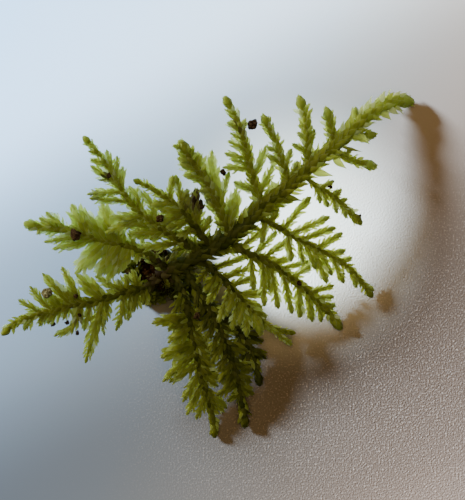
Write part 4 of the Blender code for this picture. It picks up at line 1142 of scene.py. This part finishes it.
leaf_total = triangle_total = 0
for number, (name, spec) in enumerate({"main_shoot": MAIN_SHOOT, **FRONDS}.items()):
    leaves, triangles = dress_stem(name, spec, number)
    leaf_total += leaves
    triangle_total += triangles
    print(f"{name}: {leaves} leaves, {triangles} triangles")
print("leaves:", leaf_total, "triangles:", triangle_total)

# %% [markdown]
# ## The tuft
#
# At the foot of the main shoot hangs a tuft of dead brown leaves with soil in it. Its heart is a lump of
# soil in the shape of the solid, and the dead leaves lie all over it.

# %% The heart of the tuft
HEART_GRAIN = 0.13                # width of the cubes that the solid is rebuilt from
LUMP_SIZE, LUMP_HEIGHT = 0.5, 0.8
LUMP_MIDDLE = 0.95                # near one, so the lumps stay inside the solid
CRUMB_SIZE, CRUMB_HEIGHT = 0.15, 0.15


def copy_in_millimetres(node):
    """A copy of a solid of the frame, its loose triangles merged, in the drawing's millimetres."""
    mesh = bpy.data.objects[node].data.copy()
    mesh.transform(Matrix.Translation(CENTRE) @ Matrix.Scale(1 / MM, 4))
    copy = bpy.data.objects.new(node + "_copy", mesh)
    bpy.context.collection.objects.link(copy)
    bpy.ops.object.select_all(action="DESELECT")
    copy.select_set(True)
    bpy.context.view_layer.objects.active = copy
    bpy.ops.object.mode_set(mode="EDIT")
    bpy.ops.mesh.select_all(action="SELECT")
    bpy.ops.mesh.remove_doubles(threshold=0.002)
    bpy.ops.object.mode_set(mode="OBJECT")
    return copy


def roughen(rough, size, height, middle=0.5):
    """Pushes the surface in and out in lumps of a size. A middle above 0.5 pushes it more in than out."""
    lumps = bpy.data.textures.new("lumps", "CLOUDS")
    lumps.noise_scale = size
    lumps.noise_depth = 3
    push = rough.modifiers.new("lumps", "DISPLACE")
    push.texture = lumps
    push.texture_coords = "LOCAL"
    push.strength = height
    push.mid_level = middle
    bpy.ops.object.modifier_apply(modifier="lumps")


heart = copy_in_millimetres("brown_tuft")
heart.data.remesh_voxel_size = HEART_GRAIN
bpy.ops.object.voxel_remesh()
roughen(heart, LUMP_SIZE, LUMP_HEIGHT, LUMP_MIDDLE)
roughen(heart, CRUMB_SIZE, CRUMB_HEIGHT)
for vert in heart.data.vertices:
    vert.co.z = max(vert.co.z, TABLE)
heart.data.shade_smooth()
print("heart:", len(heart.data.polygons), "faces")

# %% [markdown]
# ## The dead leaves
#
# A dead leaf starts at a random face of the heart, lies along it and lifts its tip. A few thin twigs stick
# out of the tuft, and their leaves are dead too. In its dark middle all are brown, and outside it they are
# old but still green.

# %% Dead leaves and twigs of the tuft
DEAD_LEAVES = 1100
DEAD_LENGTHS = (0.6, 1.25)
DEAD_LIFTS = (0.1, 1.1)           # how steeply they rise from the heart
DEAD_DEPTH = 0.12                 # how deep their feet are in it
DEAD_CLEAR = 0.06                 # how far their tips stay over the table
DEAD_AGES = (0.75, 1.1)
DEAD_LOOSE = 0.2                  # how much single leaves differ in how brown they are
DARKEST = Vector((-5.2, -0.5))    # the middle of the dead brown part
DARK_RADIUS = 1.7
DARK_STRENGTH = 1.6

# Twigs that stick out: the place of the tip and the width
TUFT_TWIGS = [
    (-8.0, -0.4, 3.4, 0.9), (-7.4, -1.7, 2.0, 0.8), (-6.9, 1.0, 1.1, 0.9), (-6.8, -3.2, 0.4, 1.0),
    (-5.8, -3.7, 1.2, 0.9), (-4.7, -3.5, 0.4, 0.8), (-2.2, -3.6, 0.5, 0.8), (-1.8, -1.0, 0.6, 0.8),
    (-2.7, 1.3, 0.5, 0.8), (-5.0, 1.7, 0.4, 0.8),
]
TUFT_MIDDLE = Vector((-4.4, -1.2, 1.7))
TUFT_TWIG_ROOT = 0.2              # where they start, as a share of the way from the middle to the tip
TUFT_TWIG_ARCH = 0.5
TUFT_STEM_RADII = [0.09, 0.05]
TUFT_STEM_AGES = (0.9, 0.9)
TUFT_TWIG_AGES = (0.9, 0.7)


def deadness(place, chance):
    """How dead a leaf of the tuft is at a place: 1 or more in its dark middle."""
    away = (place.xy - DARKEST).length / DARK_RADIUS
    return DARK_STRENGTH * math.exp(-away ** 2) + chance.normal(0, DEAD_LOOSE)


def dead_spot(face, chance):
    """The spot of a dead leaf that starts at a face of the heart."""
    out = face.normal.copy()
    flat = out.cross(Vector(chance.normal(0, 1, 3))).normalized()
    way = (flat + out * chance.uniform(*DEAD_LIFTS)).normalized()
    length = chance.uniform(*DEAD_LENGTHS)
    foot = face.center - out * DEAD_DEPTH
    way.z = max(way.z, (TABLE + DEAD_CLEAR - foot.z) / length)
    way.normalize()
    across = way.cross(out).normalized()
    return dict(foot=foot, way=way, across=across, out=across.cross(way), length=length,
                age=chance.uniform(*DEAD_AGES), brown=deadness(foot, chance), tint=chance.uniform(0, 1) ** 2)


chance = np.random.default_rng(100)
faces = heart.data.polygons
spots = [dead_spot(faces[int(index)], chance) for index in chance.choice(len(faces), DEAD_LEAVES)]
twig_lines = []
for x, y, z, thick in TUFT_TWIGS:
    tip = Vector((x, y, z))
    inside = TUFT_MIDDLE.lerp(tip, TUFT_TWIG_ROOT)
    middle = inside.lerp(tip, 0.5) + UP * TUFT_TWIG_ARCH
    line = smooth_line([inside, middle, tip], TWIG_STEPS)
    twig_lines.append((line, TUFT_STEM_RADII, TUFT_STEM_AGES))
    for spot in leaf_spots(line, [thick * wide for wide in TWIG_WIDTHS], TWIG_DRESS, TUFT_TWIG_AGES, chance):
        spots.append({**spot, "brown": deadness(spot["foot"], chance)})
to_piece("tuft_soil", take_mesh(heart), soil_material)
to_piece("tuft_stems", stem_mesh("tuft_stems", twig_lines), stem_material)
dead_leaves = stamp("tuft_leaves", (DEAD_LEAF, spots))
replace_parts(to_piece("tuft_leaves", dead_leaves, dead_material), "brown_tuft")
print("tuft:", len(spots), "dead leaves")

# %% [markdown]
# ## Soil grains
#
# The grains are real lumps, so each one's solid is divided finer, without rounding it off, and then made
# rough. One of them is a crust of paler soil, dried on to the leaves.

# %% Soil grains
GRAIN_LEVELS = 2
GRAIN_LUMP, GRAIN_HEIGHT = 0.4, 0.5

grain_nodes = sorted(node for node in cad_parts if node.startswith("soil_grain"))
for node in grain_nodes:
    rough = copy_in_millimetres(node)
    finer = rough.modifiers.new("finer", "SUBSURF")
    finer.subdivision_type = "SIMPLE"
    finer.levels = finer.render_levels = GRAIN_LEVELS
    bpy.ops.object.modifier_apply(modifier=finer.name)
    roughen(rough, GRAIN_LUMP, GRAIN_HEIGHT)
    mesh = take_mesh(rough)
    mesh.shade_smooth()
    material = patch_material if node == PALE_PATCH else grain_material
    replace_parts(to_piece(node.replace("soil_grain", "grain"), mesh, material), node)
print("grains:", len(grain_nodes))

# %% [markdown]
# ## Last steps
#
# The leaves and the bud that were stamped were only patterns, so they go.

# %% Finish
for pattern in (STEM_LEAF, FROND_LEAF, TWIG_LEAF, DEAD_LEAF, BUD):
    bpy.data.objects.remove(pattern)
